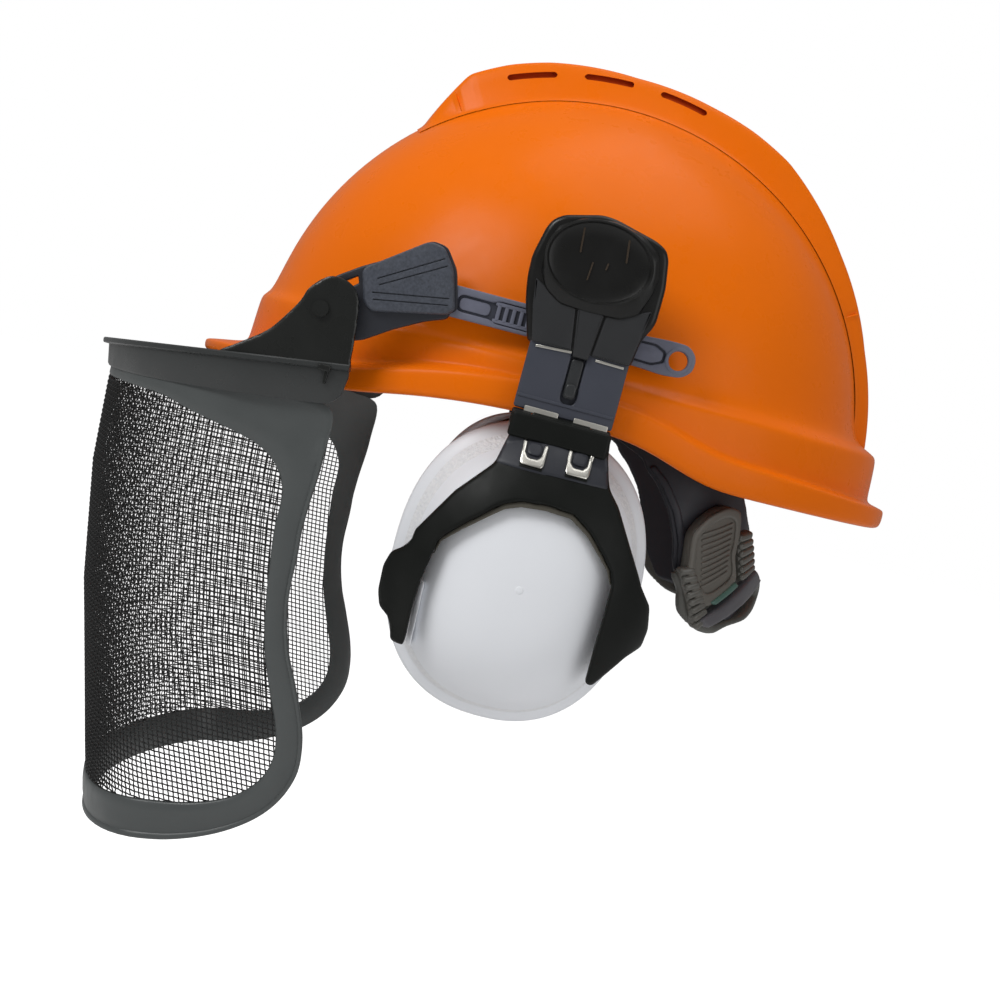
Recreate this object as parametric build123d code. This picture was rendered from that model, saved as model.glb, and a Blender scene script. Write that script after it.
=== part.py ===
from build123d import *
import math
import os

# Safety helmet with a flip-up mesh visor, a pair of ear muffs and a sliding nape band.
# Millimetres, +Z up. The wearer looks along -Y, and +X is the wearer's left.
# The origin is the centre of the head opening, level with the ear openings of the shell.

# ---- driving dimensions -------------------------------------------------------------
WALL = 2.6                # moulded shell wall
GAP = 0.3                 # clearance between separate pieces
FAR = 200.0               # reaches past the whole helmet, for cutting tools

DOME_HALF_WIDTH = 103.0   # ellipsoid of the crown
DOME_HALF_LENGTH = 125.5
DOME_Z = 16.0             # height of the ellipsoid's centre
BAND_HALF_WIDTH = 107.0   # upright band below the crown
BAND_HALF_LENGTH = 132.6
BAND_Y = 5.0
BAND_TOP = 30.0
BRIM_HALF_WIDTH = 111.0   # turned-out edge of the shell
BRIM_HALF_LENGTH = 145.3
BRIM_Y = 0.5
BRIM_Z = 3.0
BRIM_ROOT_Z = 16.0
BRIM_ARCH = 9.5           # the lower edge rises to this height at the sides
BRIM_THINNING = 0.4       # the brim is hollowed this much lower than the wall's thickness
MUFF_SLOT_HALF_LENGTH = 15.4  # upright slot for a 30 mm muff blade
MUFF_SLOT_X = (90.0, 110.0)
MUFF_SLOT_Z = (21.6, 25.0)

RIDGE_HALF_WIDTH = 26.0   # raised rib along the crown
RIDGE_TAIL_HALF_WIDTH = 21.0
RIDGE_PROFILE = (
    (-66.0, 135.5), (-35.0, 148.5), (0.0, 151.2), (33.0, 148.0),
    (68.5, 134.5), (99.0, 105.0), (119.5, 69.0), (130.7, 30.0),
)
RIDGE_TAPER_Y = 140.0         # the rib is as wide as its tail here
VENT_RADIUS = 131.0       # the vent slots lie on this circle about the dome's centre
VENT_COUNT = 3
VENT_LENGTH = 20.0
VENT_HEIGHT = 2.4
VENT_FIRST_ANGLE = -18.4
VENT_PITCH_ANGLE = 13.7

BAND_RING_HALF_WIDTH = 78.0   # inside of the headband, half a 156 mm wide head
BAND_RING_HALF_LENGTH = 98.0
HEADBAND_THICK = 2.0
HEADBAND_Z = (10.0, 38.0)
HEADBAND_REAR_Y = 38.0
KEY_ANGLE = 50.0          # harness keys, from the helmet's side axis
KEY_REACH = 20.0
KEY_HALF_WIDTH = 8.0
KEY_FACE = (-4.7, -2.3)   # how far inside the band's inner face a key's tongue lies
KEY_TONGUE_Z = (9.0, 25.0)
KEY_BRIDGE_Z = (24.3, 26.6)
LUG = ((-7.0, 1.5), (-12.0, 12.0), (10.0, 24.0))      # the shell's lug for a key: out, along, up
LUG_POCKET = ((-5.0, -2.0), (-8.3, 8.3), (8.0, 26.0))
HANGER_HALF_WIDTH = 6.0
HANGER_Z = (26.9, 29.2)
SWEATBAND_THICK = 4.0
SWEATBAND_Z = (12.0, 36.0)
SWEATBAND_REAR_Y = -35.0
CROWN_BASE_Z = 29.6
CROWN_STRAP_RISE = (77.0, 79.0)   # lower and upper strap
CROWN_STRAP_HALF_WIDTH = 10.0
CROWN_STRAP_THICK = 1.3
CROWN_PAD_RADIUS = 32.0
CROWN_PAD_THICK = 5.0
CROWN_PAD_Z = 97.0

NAPE_HALF_WIDTH = 80.6    # inside of the sliding nape band
NAPE_CURVE_Y = 46.0
NAPE_REAR_DEPTH = 48.0
NAPE_END_Y = -10.0
NAPE_THICK = 2.0
NAPE_Z = (-60.0, 35.0)
HOUSING_OUT = 6.5         # outer face of the adjuster's housing, from the band's inner face
GRIP_OUT = 10.5
GRIP_INNER_END = 20.0     # the grip stops this far from the middle
GRIP_RIB_COUNT = 8
GRIP_RIB_PITCH = 4.4
GRIP_RIB_TOP = -16.0
GRIP_GROOVE = (0.9, 1.4)  # depth and width of the grooves between the grip's ribs
NAPE_KEY_HOLE = ((-13.2, 13.2), (-45.6, -31.4))   # x and z of the push key's window
NAPE_KEY_OUT = (3.4, 8.4)     # inner and outer face of the push key, from the band's inner face
NAPE_KEY_PLAY = 0.2

STRAP_X = (103.3, 106.3)  # slotted strap that carries the visor
STRAP_Z = (36.0, 48.0)
STRAP_Y = (-58.0, 44.4)
EYE_Y = 38.3
EYE_RADIUS = 3.5
STRAP_SLOT_HALF = 3.4
STRAP_SLOT_COUNT = 4
STRAP_SLOT_PITCH = 3.4
STRAP_SLOT_WIDTH = 1.4
STRAP_SLOT_FIRST_Y = -16.0
STRAP_POCKET_Y = (-42.0, -18.0)
STRAP_POCKET_DEPTH = 0.8

WEDGE_X = (100.6, 109.2)  # tension housing on the strap
WEDGE_ARM_X = (103.0, 109.2)
WEDGE_CHANNEL_Y = (-65.0, -40.0)
WEDGE_RIDGE_COUNT = 3
WEDGE_RIDGE_PITCH = 7.0
WEDGE_RIDGE_FIRST = (-72.0, 46.0)     # y and z of the first groove
WEDGE_RIDGE_LEAN = -20.0
WEDGE_RIDGE_SIZE = (1.2, 1.2, 18.0)

PIVOT_Y = -90.0           # visor hinge
PIVOT_Z = 27.0
PIVOT_RADIUS = 3.0
PIVOT_SHANK_X = (102.4, 113.2)
PIVOT_WASHER_X = (100.6, 102.7)
PIVOT_WASHER_RADIUS = 6.0
HINGE_BOSS_RADIUS = 10.5
EAR_X = (109.6, 112.4)

VISOR_TILT = 8.4          # the brow guard slopes down towards the front
VISOR_REAR_Y = -75.0
VISOR_REAR_Z = 10.0
GUARD_HALF_WIDTH = 112.4
GUARD_CURVE_Y = -110.0
GUARD_FRONT_DEPTH = 73.2
GUARD_HEIGHT = 14.0
GUARD_WALL = 2.5
GUARD_LIP = 1.2           # how far the ledge stands out past the band below it
LEDGE_THICK = 2.2
LEDGE_HOLE = (104.0, 44.0)
GUARD_REAR_INSIDE = 108.6     # half width inside the band's straight rear part
GUARD_REAR_INSIDE_Y = -120.0
PIVOT_CLEARANCE = 0.08
VISOR_LEVELS = (
    # height, half width, plan centre y, front depth
    (4.0, 108.0, -112.0, 67.0),
    (-85.0, 104.0, -112.0, 57.0),
    (-192.0, 88.0, -108.0, 34.5),
)
VISOR_SIDE_END_Y = -40.0
RIM_LAYER = (1.6, -1.8)   # outer and inner face of the visor's frame, from its middle
MESH_LAYER = (0.3, -0.3)
WINDOW = (
    (-200, -16), (-140, -16), (-117, -21), (-98, -25), (-89, -35), (-86.5, -50), (-84, -78),
    (-77, -103), (-68, -127), (-67, -140), (-76, -155), (-95, -163), (-125, -166), (-200, -172),
)
RIM = (
    (-200, -5), (-120, -12), (-80, -6), (-76, -25), (-76, -60), (-74, -86), (-64, -111),
    (-57, -132), (-57.5, -145), (-66, -160), (-85, -173), (-110, -180), (-130, -182), (-200, -190),
)

MUFF_Y = 3.0              # centre line of each ear muff
HUB_Z = 68.0
HUB_X = (110.4, 119.0)
SLIDER_X = (113.2, 117.2)
SLIDER_HALF_WIDTH = 18.0
SLIDER_Z = (11.6, 56.0)
SLIDER_WINDOW = (3.0, (18.0, 46.0))   # half width, and height range
KNUCKLE_HALF_SPAN = (11.0, 18.0)
DETENT_HALF_WIDTH = 2.2
DETENT_X = (114.0, 117.4)
DETENT_Z = (18.6, 32.0)
DETENT_TOE_X = (117.4, 118.6)
DETENT_TOE_Z = (19.0, 23.5)
SPRING_X = (117.3, 118.0)
SPRING_Y = ((-14.5, -2.0), (3.5, 16.0))
SPRING_Z = (11.9, 15.4)
BRACKET_PLATE = ((107.5, 110.1), 17.0, (20.0, 76.0))  # x range, half width, z range
BLADE_HALF_WIDTH = 15.0
BLADE_X = (96.0, 108.0)
BLADE_Z = (22.0, 24.6)
HOOK_X = (96.0, 98.5)
HOOK_TOP = 28.0
GUIDE_X = (103.0, 108.0)
GUIDE_HEIGHT = 3.3
HUB_BORE_END = 118.2
HUB_CHANNEL_Z = (30.0, 60.0)
HUB_WINDOW_HALF_WIDTH = 4.0
HUB_WINDOW_TOP = 50.0
SLIDER_PLAY = 0.2
HINGE_X = 117.0
HINGE_Z = 8.0
KNUCKLE_RADIUS = 3.2
PIN_RADIUS = 1.2

CUP_X = 100.0             # outer face of the cup's base flange
CUP_Z = -49.0
CUP_HALF_WIDTH = 44.5
CUP_HALF_HEIGHT = 53.0
CUP_DEPTH = 30.0
CUP_WALL = 2.5
FLANGE_Z = -47.4          # the cup's base flange is taller than its dome
FLANGE_HALF_HEIGHT = 55.4
FLANGE_THICK = 8.0
CUSHION_X = (76.0, 89.5)
EAR_HOLE = (21.0, 30.0)   # half width and half height of the opening for the ear
DIAL_OVAL = (18.9, 15.0)
DIAL_RECESS = (17.4, 13.2)
DIAL_OUT = 120.6
DIAL_RECESS_DEPTH = 0.8
DIAL_CENTRE_Y = 2.0
DIAL_SLIT_FLOOR = 119.5
DIAL_SLIT = (7.8, 1.2, (1.0, 10.0))   # distance from the middle, width, and height range
BOSS_RADIUS = 5.0
CUP_PIN_RADIUS = 2.4
PIN_CLEARANCE = 0.08
CUP_PIVOT_X = 104.0
CUP_PIVOT_Z = -57.0
YOKE_GAP = 4.0
YOKE_THICK = 3.4
YOKE_KNUCKLE_HALF = 10.7
YOKE_NECK_X = (115.2, 119.8)
YOKE_NECK_LOW = 1.0
CLIP_SIZE = (10.0, 9.0, 2.0, 1.0)     # width, length, bar width and thickness
CLIP_OFFSETS = (-6.3, 10.0)
CLIP_PLACE = (126.9, -4.2)            # x and z of each clip's middle
CLIP_FACING = (0.85, 0.0, 0.527)
FOAM_OUTER = (33.0, 41.0)
FOAM_INNER = (27.0, 35.0)


# ---- shared shapes ------------------------------------------------------------------
def ellipsoid(half_x, half_y, half_z, centre):
    """A solid ellipsoid about centre."""
    unit = 100.0
    ball = scale(Sphere(unit), by=(half_x / unit, half_y / unit, half_z / unit))
    return Pos(*centre) * ball


def block(x_range, y_range, z_range):
    """A box given by its range along each axis."""
    size = [high - low for low, high in (x_range, y_range, z_range)]
    middle = [(high + low) / 2 for low, high in (x_range, y_range, z_range)]
    return Pos(*middle) * Box(*size)


def oval_column(half_x, half_y, centre_y, z_range):
    """An upright elliptical column."""
    low, high = z_range
    return extrude(Pos(0, centre_y, low) * Ellipse(half_x, half_y), amount=high - low)


def side_plate(outline, x_range, radius=0.0):
    """A plate with a side-view outline of (y, z) points, spanning x_range."""
    low, high = x_range
    face = make_face(Polyline(*outline, close=True))
    if radius:
        face = fillet(face.vertices(), radius)
    side = Plane(origin=(low, 0, 0), x_dir=(0, 1, 0), z_dir=(1, 0, 0))
    return extrude(side * face, amount=high - low)


def cross_pin(radius, x_range, y, z):
    """A round pin along X."""
    low, high = x_range
    return Pos((low + high) / 2, y, z) * Rot(0, 90, 0) * Cylinder(radius, high - low)


def long_pin(radius, y_range, x, z):
    """A round pin along Y."""
    low, high = y_range
    return Pos(x, (low + high) / 2, z) * Rot(90, 0, 0) * Cylinder(radius, high - low)


def u_ring(half_width, depth, curve_y, end_y, z_range):
    """A solid column with a U-shaped plan: straight sides to curve_y, then half an ellipse."""
    low, high = z_range
    nose = Pos(0, curve_y, low) * Ellipse(half_width, depth)
    sides_y = (min(curve_y, end_y), max(curve_y, end_y))
    column = extrude(nose, amount=high - low)
    away = 1000.0 if curve_y > end_y else -1000.0
    half = block((-500, 500), sorted((curve_y, curve_y + away)), (low - 1, high + 1))
    return (column & half) + block((-half_width, half_width), sides_y, z_range)


def other_side(shape):
    """The same piece on the wearer's right."""
    return mirror(shape, about=Plane.YZ)


# ---- shell --------------------------------------------------------------------------
def crown(inset, lowest):
    """The ellipsoid crown with its upright skirt, inset all round by the wall."""
    half_x = DOME_HALF_WIDTH - inset
    half_y = DOME_HALF_LENGTH - inset
    top = ellipsoid(half_x, half_y, half_y, (0, 0, DOME_Z))
    top &= block((-FAR, FAR), (-FAR, FAR), (DOME_Z, FAR))
    return top + oval_column(half_x, half_y, 0, (lowest, DOME_Z))


def ridge(inset):
    """The rib along the crown: a side profile, narrowed towards the tail."""
    lowest = RIDGE_PROFILE[-1][1]
    foot = [(-80, 112), (-60, 60), (0, lowest), (100, lowest)]
    with BuildLine() as outline:
        crest = Spline(*RIDGE_PROFILE)
        Polyline(crest @ 1, *reversed(foot), crest @ 0)
    side = Plane(origin=(0, 0, 0), x_dir=(0, 1, 0), z_dir=(1, 0, 0))
    rib = extrude(side * make_face(outline.line), amount=RIDGE_HALF_WIDTH, both=True)
    half, tail = RIDGE_HALF_WIDTH, RIDGE_TAIL_HALF_WIDTH
    plan = [(half, -90), (half, 0), (tail, RIDGE_TAPER_Y)]
    plan += [(-x, y) for x, y in reversed(plan)]
    rib &= extrude(make_face(Polyline(*plan, close=True)), amount=200)
    if not inset:
        return rib
    shrink = [(size - inset) / size for size in (RIDGE_HALF_WIDTH, DOME_HALF_LENGTH, DOME_HALF_LENGTH)]
    return Pos(0, 0, DOME_Z) * scale(Pos(0, 0, -DOME_Z) * rib, by=tuple(shrink))


def brim(drop):
    """A frustum whose slanted side is the turned-out edge, lowered by drop."""
    upper = Pos(0, BAND_Y, BRIM_ROOT_Z - drop) * Ellipse(BAND_HALF_WIDTH, BAND_HALF_LENGTH)
    lower = Pos(0, BRIM_Y, BRIM_Z - drop) * Ellipse(BRIM_HALF_WIDTH, BRIM_HALF_LENGTH)
    return loft([upper.face(), lower.face()], ruled=True)


def vent(index):
    """One pair of vent slots, cut across both flanks of the ridge."""
    angle = VENT_FIRST_ANGLE + index * VENT_PITCH_ANGLE
    bar = Box(2 * RIDGE_HALF_WIDTH + 10, VENT_LENGTH, VENT_HEIGHT)
    return Pos(0, 0, DOME_Z) * Rot(-angle, 0, 0) * Pos(0, 0, VENT_RADIUS) * bar


def key_places():
    """Where the four harness keys stand, on the inside of the band."""
    for turn in (KEY_ANGLE, 180 - KEY_ANGLE, 180 + KEY_ANGLE, -KEY_ANGLE):
        x = (BAND_HALF_WIDTH - WALL) * math.cos(math.radians(turn))
        y = BAND_Y + (BAND_HALF_LENGTH - WALL) * math.sin(math.radians(turn))
        heading = math.degrees(math.atan2(y - BAND_Y, x))
        yield Pos(x, y, 0) * Rot(0, 0, heading)


def key_socket(place):
    """A lug inside the band with an upright pocket for one key."""
    return place * (block(*LUG) - block(*LUG_POCKET))


def shell():
    """The moulded helmet shell."""
    body = crown(0, BRIM_Z) + oval_column(
        BAND_HALF_WIDTH, BAND_HALF_LENGTH, BAND_Y, (BRIM_Z, BAND_TOP)
    )
    body += brim(0)
    body += ridge(0)
    body -= crown(WALL, -30)
    body -= oval_column(
        BAND_HALF_WIDTH - WALL, BAND_HALF_LENGTH - WALL, BAND_Y, (-30, BAND_TOP - WALL)
    )
    body -= ridge(WALL)
    body -= brim(WALL + BRIM_THINNING) - oval_column(BAND_HALF_WIDTH, BAND_HALF_LENGTH, BAND_Y, (-30, 40))
    arch_radius = (BRIM_HALF_LENGTH**2 + BRIM_ARCH**2) / (2 * BRIM_ARCH)
    body -= cross_pin(arch_radius, (-FAR, FAR), 0, BRIM_ARCH - arch_radius)
    for index in range(VENT_COUNT):
        body -= vent(index)
    for place in key_places():
        body += key_socket(place) - crown_outside()
    slot_y = (MUFF_Y - MUFF_SLOT_HALF_LENGTH, MUFF_Y + MUFF_SLOT_HALF_LENGTH)
    slot = block(MUFF_SLOT_X, slot_y, MUFF_SLOT_Z)
    return body - slot - other_side(slot)


def crown_outside():
    """Everything outside the band, to trim what is moulded on its inner face."""
    low_high = (-40.0, 60.0)
    around = block((-FAR, FAR), (-FAR, FAR), low_high)
    return around - oval_column(
        BAND_HALF_WIDTH - WALL / 2, BAND_HALF_LENGTH - WALL / 2, BAND_Y, low_high
    )


# ---- harness ------------------------------------------------------------------------
def harness_keys():
    """Four keys that hang the harness in the shell's sockets."""
    keys = []
    for place in key_places():
        width = (-KEY_HALF_WIDTH, KEY_HALF_WIDTH)
        tongue = block(KEY_FACE, width, KEY_TONGUE_Z)
        bridge = block((-KEY_REACH, KEY_FACE[1]), width, KEY_BRIDGE_Z)
        keys.append(place * (tongue + bridge))
    return Compound(children=keys)


def key_half_span():
    """Distance from the crown's axis to the inner end of a key."""
    x = (BAND_HALF_WIDTH - WALL) * math.cos(math.radians(KEY_ANGLE))
    y = (BAND_HALF_LENGTH - WALL) * math.sin(math.radians(KEY_ANGLE))
    return math.hypot(x, y) - KEY_REACH, math.degrees(math.atan2(y, x))


def crown_strap(turn_sign, rise):
    """One textile strap over the crown, between two opposite keys."""
    span, heading = key_half_span()
    reach = span + 5
    outer = Ellipse(reach, rise)
    inner = Ellipse(reach - CROWN_STRAP_THICK, rise - CROWN_STRAP_THICK)
    arch = extrude(Plane.XZ * (outer - inner), amount=CROWN_STRAP_HALF_WIDTH, both=True)
    arch &= block((-FAR, FAR), (-FAR, FAR), (0, FAR))
    return Pos(0, BAND_Y, CROWN_BASE_Z) * Rot(0, 0, turn_sign * heading) * arch


def crown_pad():
    """Soft round pad under the place where the straps cross."""
    return Pos(0, BAND_Y, CROWN_PAD_Z) * Cylinder(CROWN_PAD_RADIUS, CROWN_PAD_THICK)


def headband():
    """Plastic band round the forehead and temples."""
    outer = oval_column(
        BAND_RING_HALF_WIDTH + HEADBAND_THICK, BAND_RING_HALF_LENGTH + HEADBAND_THICK, 0, HEADBAND_Z
    )
    inner = oval_column(BAND_RING_HALF_WIDTH, BAND_RING_HALF_LENGTH, 0, (0, 50))
    hoop = outer - inner
    hoop &= block((-FAR, FAR), (-FAR, HEADBAND_REAR_Y), (0, FAR))
    hoop += headband_hangers()
    return hoop


def headband_hangers():
    """Two tabs at the front that lie on the front keys."""
    tabs = Part()
    for place in list(key_places())[2:]:
        width = (-HANGER_HALF_WIDTH, HANGER_HALF_WIDTH)
        tabs += place * block((-KEY_REACH - 10, -KEY_REACH + 8), width, HANGER_Z)
    inside = oval_column(
        BAND_RING_HALF_WIDTH + HEADBAND_THICK, BAND_RING_HALF_LENGTH + HEADBAND_THICK, 0, (0, 60)
    )
    return tabs - inside


def sweatband():
    """Soft forehead pad on the inner face of the headband."""
    half_x, half_y = BAND_RING_HALF_WIDTH, BAND_RING_HALF_LENGTH
    outer = oval_column(half_x - GAP, half_y - GAP, 0, SWEATBAND_Z)
    inner = oval_column(half_x - SWEATBAND_THICK, half_y - SWEATBAND_THICK, 0, (0, FAR))
    return (outer - inner) & block((-FAR, FAR), (-FAR, SWEATBAND_REAR_Y), (0, FAR))


def nape_layer(near, far, z_range):
    """A layer of the sliding nape band, between two distances outside its inner face."""
    low, high = z_range
    return nape_column(far, z_range) - nape_column(near, (low - 5, high + 5))


def nape_column(offset, z_range):
    """A solid column inside the nape band, reaching offset outside its inner face."""
    half_width = NAPE_HALF_WIDTH + offset
    return u_ring(half_width, NAPE_REAR_DEPTH + offset, NAPE_CURVE_Y, NAPE_END_Y, z_range)


def nape_strap():
    """Left arm of the nape band, from the temple down to the nape."""
    outline = [
        (14, 30), (14, 13), (38, 6), (50, -5), (57, -18), (61, -32), (72, -49),
        (90, -49), (90, -18), (84, -8), (80, -1), (72, 8), (58, 18), (44, 28),
    ]
    return nape_layer(0, NAPE_THICK, NAPE_Z) & side_plate(outline, (0, FAR), 3)


def adjuster_housing():
    """The curved housing at the nape that joins both arms."""
    outline = [(78, -29), (78, -49), (130, -49), (130, -29)]
    return nape_layer(NAPE_THICK + GAP, HOUSING_OUT, NAPE_Z) & side_plate(outline, (-FAR, FAR), 3)


def adjuster_grip():
    """Ribbed finger grip on the left end of the housing."""
    outline = [
        (62, -33), (62, -18), (70, -7), (78.5, -6), (87, -14), (94, -26),
        (101, -33), (101, -46), (96, -51), (84, -55), (72, -52), (65, -47),
    ]
    reach = side_plate(outline, (GRIP_INNER_END, FAR), 2)
    pad = nape_layer(HOUSING_OUT, GRIP_OUT, NAPE_Z) & reach
    base = nape_layer(NAPE_THICK + GAP, HOUSING_OUT, NAPE_Z) & reach
    pad += base - adjuster_housing()
    depth, width = GRIP_GROOVE
    for index in range(GRIP_RIB_COUNT):
        z = GRIP_RIB_TOP - GRIP_RIB_PITCH * index
        pad -= nape_layer(GRIP_OUT - depth, GRIP_OUT + depth, (z, z + width))
    return pad


def push_key():
    """The key at the nape that is pressed to slide the band."""
    (left, right), (low, high) = NAPE_KEY_HOLE
    play = NAPE_KEY_PLAY
    body = block((left + play, right - play), (NAPE_CURVE_Y, FAR), (low + play, high - play))
    return nape_layer(*NAPE_KEY_OUT, NAPE_Z) & body


# ---- visor --------------------------------------------------------------------------
def visor_strap():
    """Left slotted strap: a flat bar with a round end, an eye and adjusting slots."""
    middle = sum(STRAP_Z) / 2
    half = (STRAP_Z[1] - STRAP_Z[0]) / 2
    bar = block(STRAP_X, (STRAP_Y[0], STRAP_Y[1] - half), STRAP_Z)
    bar += cross_pin(half, STRAP_X, STRAP_Y[1] - half, middle)
    bar -= cross_pin(EYE_RADIUS, (0, FAR), EYE_Y, middle)
    slot_z = (middle - STRAP_SLOT_HALF, middle + STRAP_SLOT_HALF)
    bar -= block((STRAP_X[1] - STRAP_POCKET_DEPTH, FAR), STRAP_POCKET_Y, slot_z)
    for index in range(STRAP_SLOT_COUNT):
        y = STRAP_SLOT_FIRST_Y + STRAP_SLOT_PITCH * index
        bar -= block((0, FAR), (y, y + STRAP_SLOT_WIDTH), slot_z)
    return bar


def visor_wedge():
    """Left tension housing that grips the strap and carries the visor's hinge."""
    box = [(-78, 33), (-78.5, 44), (-58, 60), (-54, 59.5), (-46, 50), (-43.5, 38), (-46, 33)]
    arm = [(-92, 18), (-74, 20), (-45, 34.5), (-60, 46), (-78.5, 44), (-92, 37)]
    wedge = side_plate(box, WEDGE_X, 1.5) + side_plate(arm, WEDGE_ARM_X, 2)
    wedge += cross_pin(HINGE_BOSS_RADIUS, WEDGE_ARM_X, PIVOT_Y, PIVOT_Z)
    channel_x = (STRAP_X[0] - GAP, STRAP_X[1] + GAP)
    wedge -= block(channel_x, WEDGE_CHANNEL_Y, (STRAP_Z[0] - GAP, STRAP_Z[1] + GAP))
    wedge -= cross_pin(PIVOT_RADIUS + PIVOT_CLEARANCE, (0, FAR), PIVOT_Y, PIVOT_Z)
    first_y, z = WEDGE_RIDGE_FIRST
    for index in range(WEDGE_RIDGE_COUNT):
        place = Pos(WEDGE_X[1], first_y + WEDGE_RIDGE_PITCH * index, z)
        wedge -= place * Rot(WEDGE_RIDGE_LEAN, 0, 0) * Box(*WEDGE_RIDGE_SIZE)
    return wedge


def pivot_screw():
    """Left hinge screw of the visor: a shank through the housing and a flat head."""
    shank = cross_pin(PIVOT_RADIUS, PIVOT_SHANK_X, PIVOT_Y, PIVOT_Z)
    washer = cross_pin(PIVOT_WASHER_RADIUS, PIVOT_WASHER_X, PIVOT_Y, PIVOT_Z)
    return shank + washer


def tilted(shape):
    """Turns a level visor piece about its rear edge to the visor's slope."""
    pivot = Pos(0, VISOR_REAR_Y, VISOR_REAR_Z)
    return pivot * Rot(VISOR_TILT, 0, 0) * Pos(0, -VISOR_REAR_Y, 0) * shape


def guard_column(inset, z_range):
    """A U-shaped column that follows the brow guard's plan, inset from its edge."""
    return u_ring(
        GUARD_HALF_WIDTH - inset, GUARD_FRONT_DEPTH - inset, GUARD_CURVE_Y, VISOR_REAR_Y, z_range
    )


def brow_guard():
    """The brow guard: a flat ledge, a deep front band and two hinge ears."""
    half = LEDGE_HOLE[0]
    open_plan = block((-half, half), (GUARD_CURVE_Y, VISOR_REAR_Y + 1), (-40, 40))
    ledge_hole = open_plan + oval_column(*LEDGE_HOLE, GUARD_CURVE_Y, (-40, 40))
    ledge = guard_column(0, (-LEDGE_THICK, 0)) - ledge_hole
    rear = block(
        (-GUARD_REAR_INSIDE, GUARD_REAR_INSIDE), (GUARD_REAR_INSIDE_Y, VISOR_REAR_Y + 5), (-40, 5)
    )
    band_core = guard_column(GUARD_WALL + GUARD_LIP, (-40, 5)) + rear
    band = guard_column(GUARD_LIP, (-GUARD_HEIGHT, -1)) - band_core
    ear = [
        (-116, 6), (-108, 14), (-102, 21), (-98, 28), (-96, 34), (-92, 38.5), (-86, 39.5),
        (-80, 37), (-77, 31), (-75.5, 20), (-75, 6), (-78, -2), (-100, -4),
    ]
    plate = side_plate(ear, EAR_X, 1)
    plate -= cross_pin(PIVOT_RADIUS + PIVOT_CLEARANCE, (0, FAR), PIVOT_Y, PIVOT_Z)
    return tilted(ledge + band) + plate + other_side(plate)


def visor_body(inset):
    """The space inside the curved visor sheet, lofted through three U-shaped sections."""
    faces = []
    for z, half_width, centre_y, depth in VISOR_LEVELS:
        nose = Pos(0, centre_y) * Ellipse(half_width - inset, depth - inset)
        nose &= Pos(0, centre_y - FAR / 2) * Rectangle(2 * FAR, FAR)
        middle_y = (centre_y + VISOR_SIDE_END_Y) / 2
        rear = Pos(0, middle_y) * Rectangle(2 * (half_width - inset), VISOR_SIDE_END_Y - centre_y)
        faces.append(Pos(0, 0, z) * (nose + rear).face())
    return loft(faces, ruled=True)


def visor_rim():
    """The moulded edge round the mesh: both sides and the bottom."""
    wall = visor_body(-RIM_LAYER[0]) - visor_body(-RIM_LAYER[1])
    rim = wall & side_plate(RIM, (-150, 150), 2)
    rim -= side_plate(WINDOW, (-150, 150), 2)
    return rim - tilted(guard_column(-10, (-GUARD_HEIGHT - GAP, 40)))


def visor_mesh():
    """The curved woven screen, as one thin sheet."""
    wall = visor_body(-MESH_LAYER[0]) - visor_body(-MESH_LAYER[1])
    sheet = wall & side_plate(WINDOW, (-150, 150), 2)
    return sheet - tilted(guard_column(-10, (-GUARD_HEIGHT - GAP, 40)))


# ---- ear muff, wearer's left --------------------------------------------------------
def muff_bracket():
    """Bracket with a 30 mm blade in the shell's slot and a boss for the hub."""
    y_range = (MUFF_Y - BLADE_HALF_WIDTH, MUFF_Y + BLADE_HALF_WIDTH)
    plate_x, half_width, plate_z = BRACKET_PLATE
    plate = block(plate_x, (MUFF_Y - half_width, MUFF_Y + half_width), plate_z)
    blade = block(BLADE_X, y_range, BLADE_Z)
    hook = block(HOOK_X, y_range, (BLADE_Z[0], HOOK_TOP))
    low, high = STRAP_Z[0] - GAP, STRAP_Z[1] + GAP
    guides = block(GUIDE_X, y_range, (low - GUIDE_HEIGHT, low))
    guides += block(GUIDE_X, y_range, (high, high + GUIDE_HEIGHT))
    boss = cross_pin(BOSS_RADIUS, (plate_x[1] - 0.1, HUB_BORE_END - 0.2), MUFF_Y, HUB_Z)
    return plate + blade + hook + guides + boss


def muff_hub():
    """Turning hub with the channel that the height slider runs in."""
    outline = [
        (-15.5, 34.6), (-20.5, 49), (-22, 64), (-20, 76), (-14, 82.5), (2, 85), (14, 83.5),
        (24, 78), (27, 66), (26.5, 55), (23, 44), (22, 34.6),
    ]
    hub = side_plate(outline, HUB_X, 2)
    hub -= cross_pin(BOSS_RADIUS + PIN_CLEARANCE, (0, HUB_BORE_END), MUFF_Y, HUB_Z)
    channel_y = (MUFF_Y - SLIDER_HALF_WIDTH - GAP / 2, MUFF_Y + SLIDER_HALF_WIDTH + GAP / 2)
    hub -= block((SLIDER_X[0] - SLIDER_PLAY, SLIDER_X[1] + SLIDER_PLAY), channel_y, HUB_CHANNEL_Z)
    window_y = (MUFF_Y - HUB_WINDOW_HALF_WIDTH, MUFF_Y + HUB_WINDOW_HALF_WIDTH)
    return hub - block((SLIDER_X[1] - SLIDER_PLAY, FAR), window_y, (HUB_CHANNEL_Z[0], HUB_WINDOW_TOP))


def muff_dial():
    """Round cover on the hub, with two slits."""
    dial = hub_oval(DIAL_OVAL, (HUB_X[1], DIAL_OUT))
    dial -= hub_oval(DIAL_RECESS, (DIAL_OUT - DIAL_RECESS_DEPTH, FAR))
    distance, width, (low, high) = DIAL_SLIT
    for side in (-1, 1):
        y = DIAL_CENTRE_Y + side * distance
        dial -= block((DIAL_SLIT_FLOOR, FAR), (y - width / 2, y + width / 2), (HUB_Z + low, HUB_Z + high))
    return dial


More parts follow.
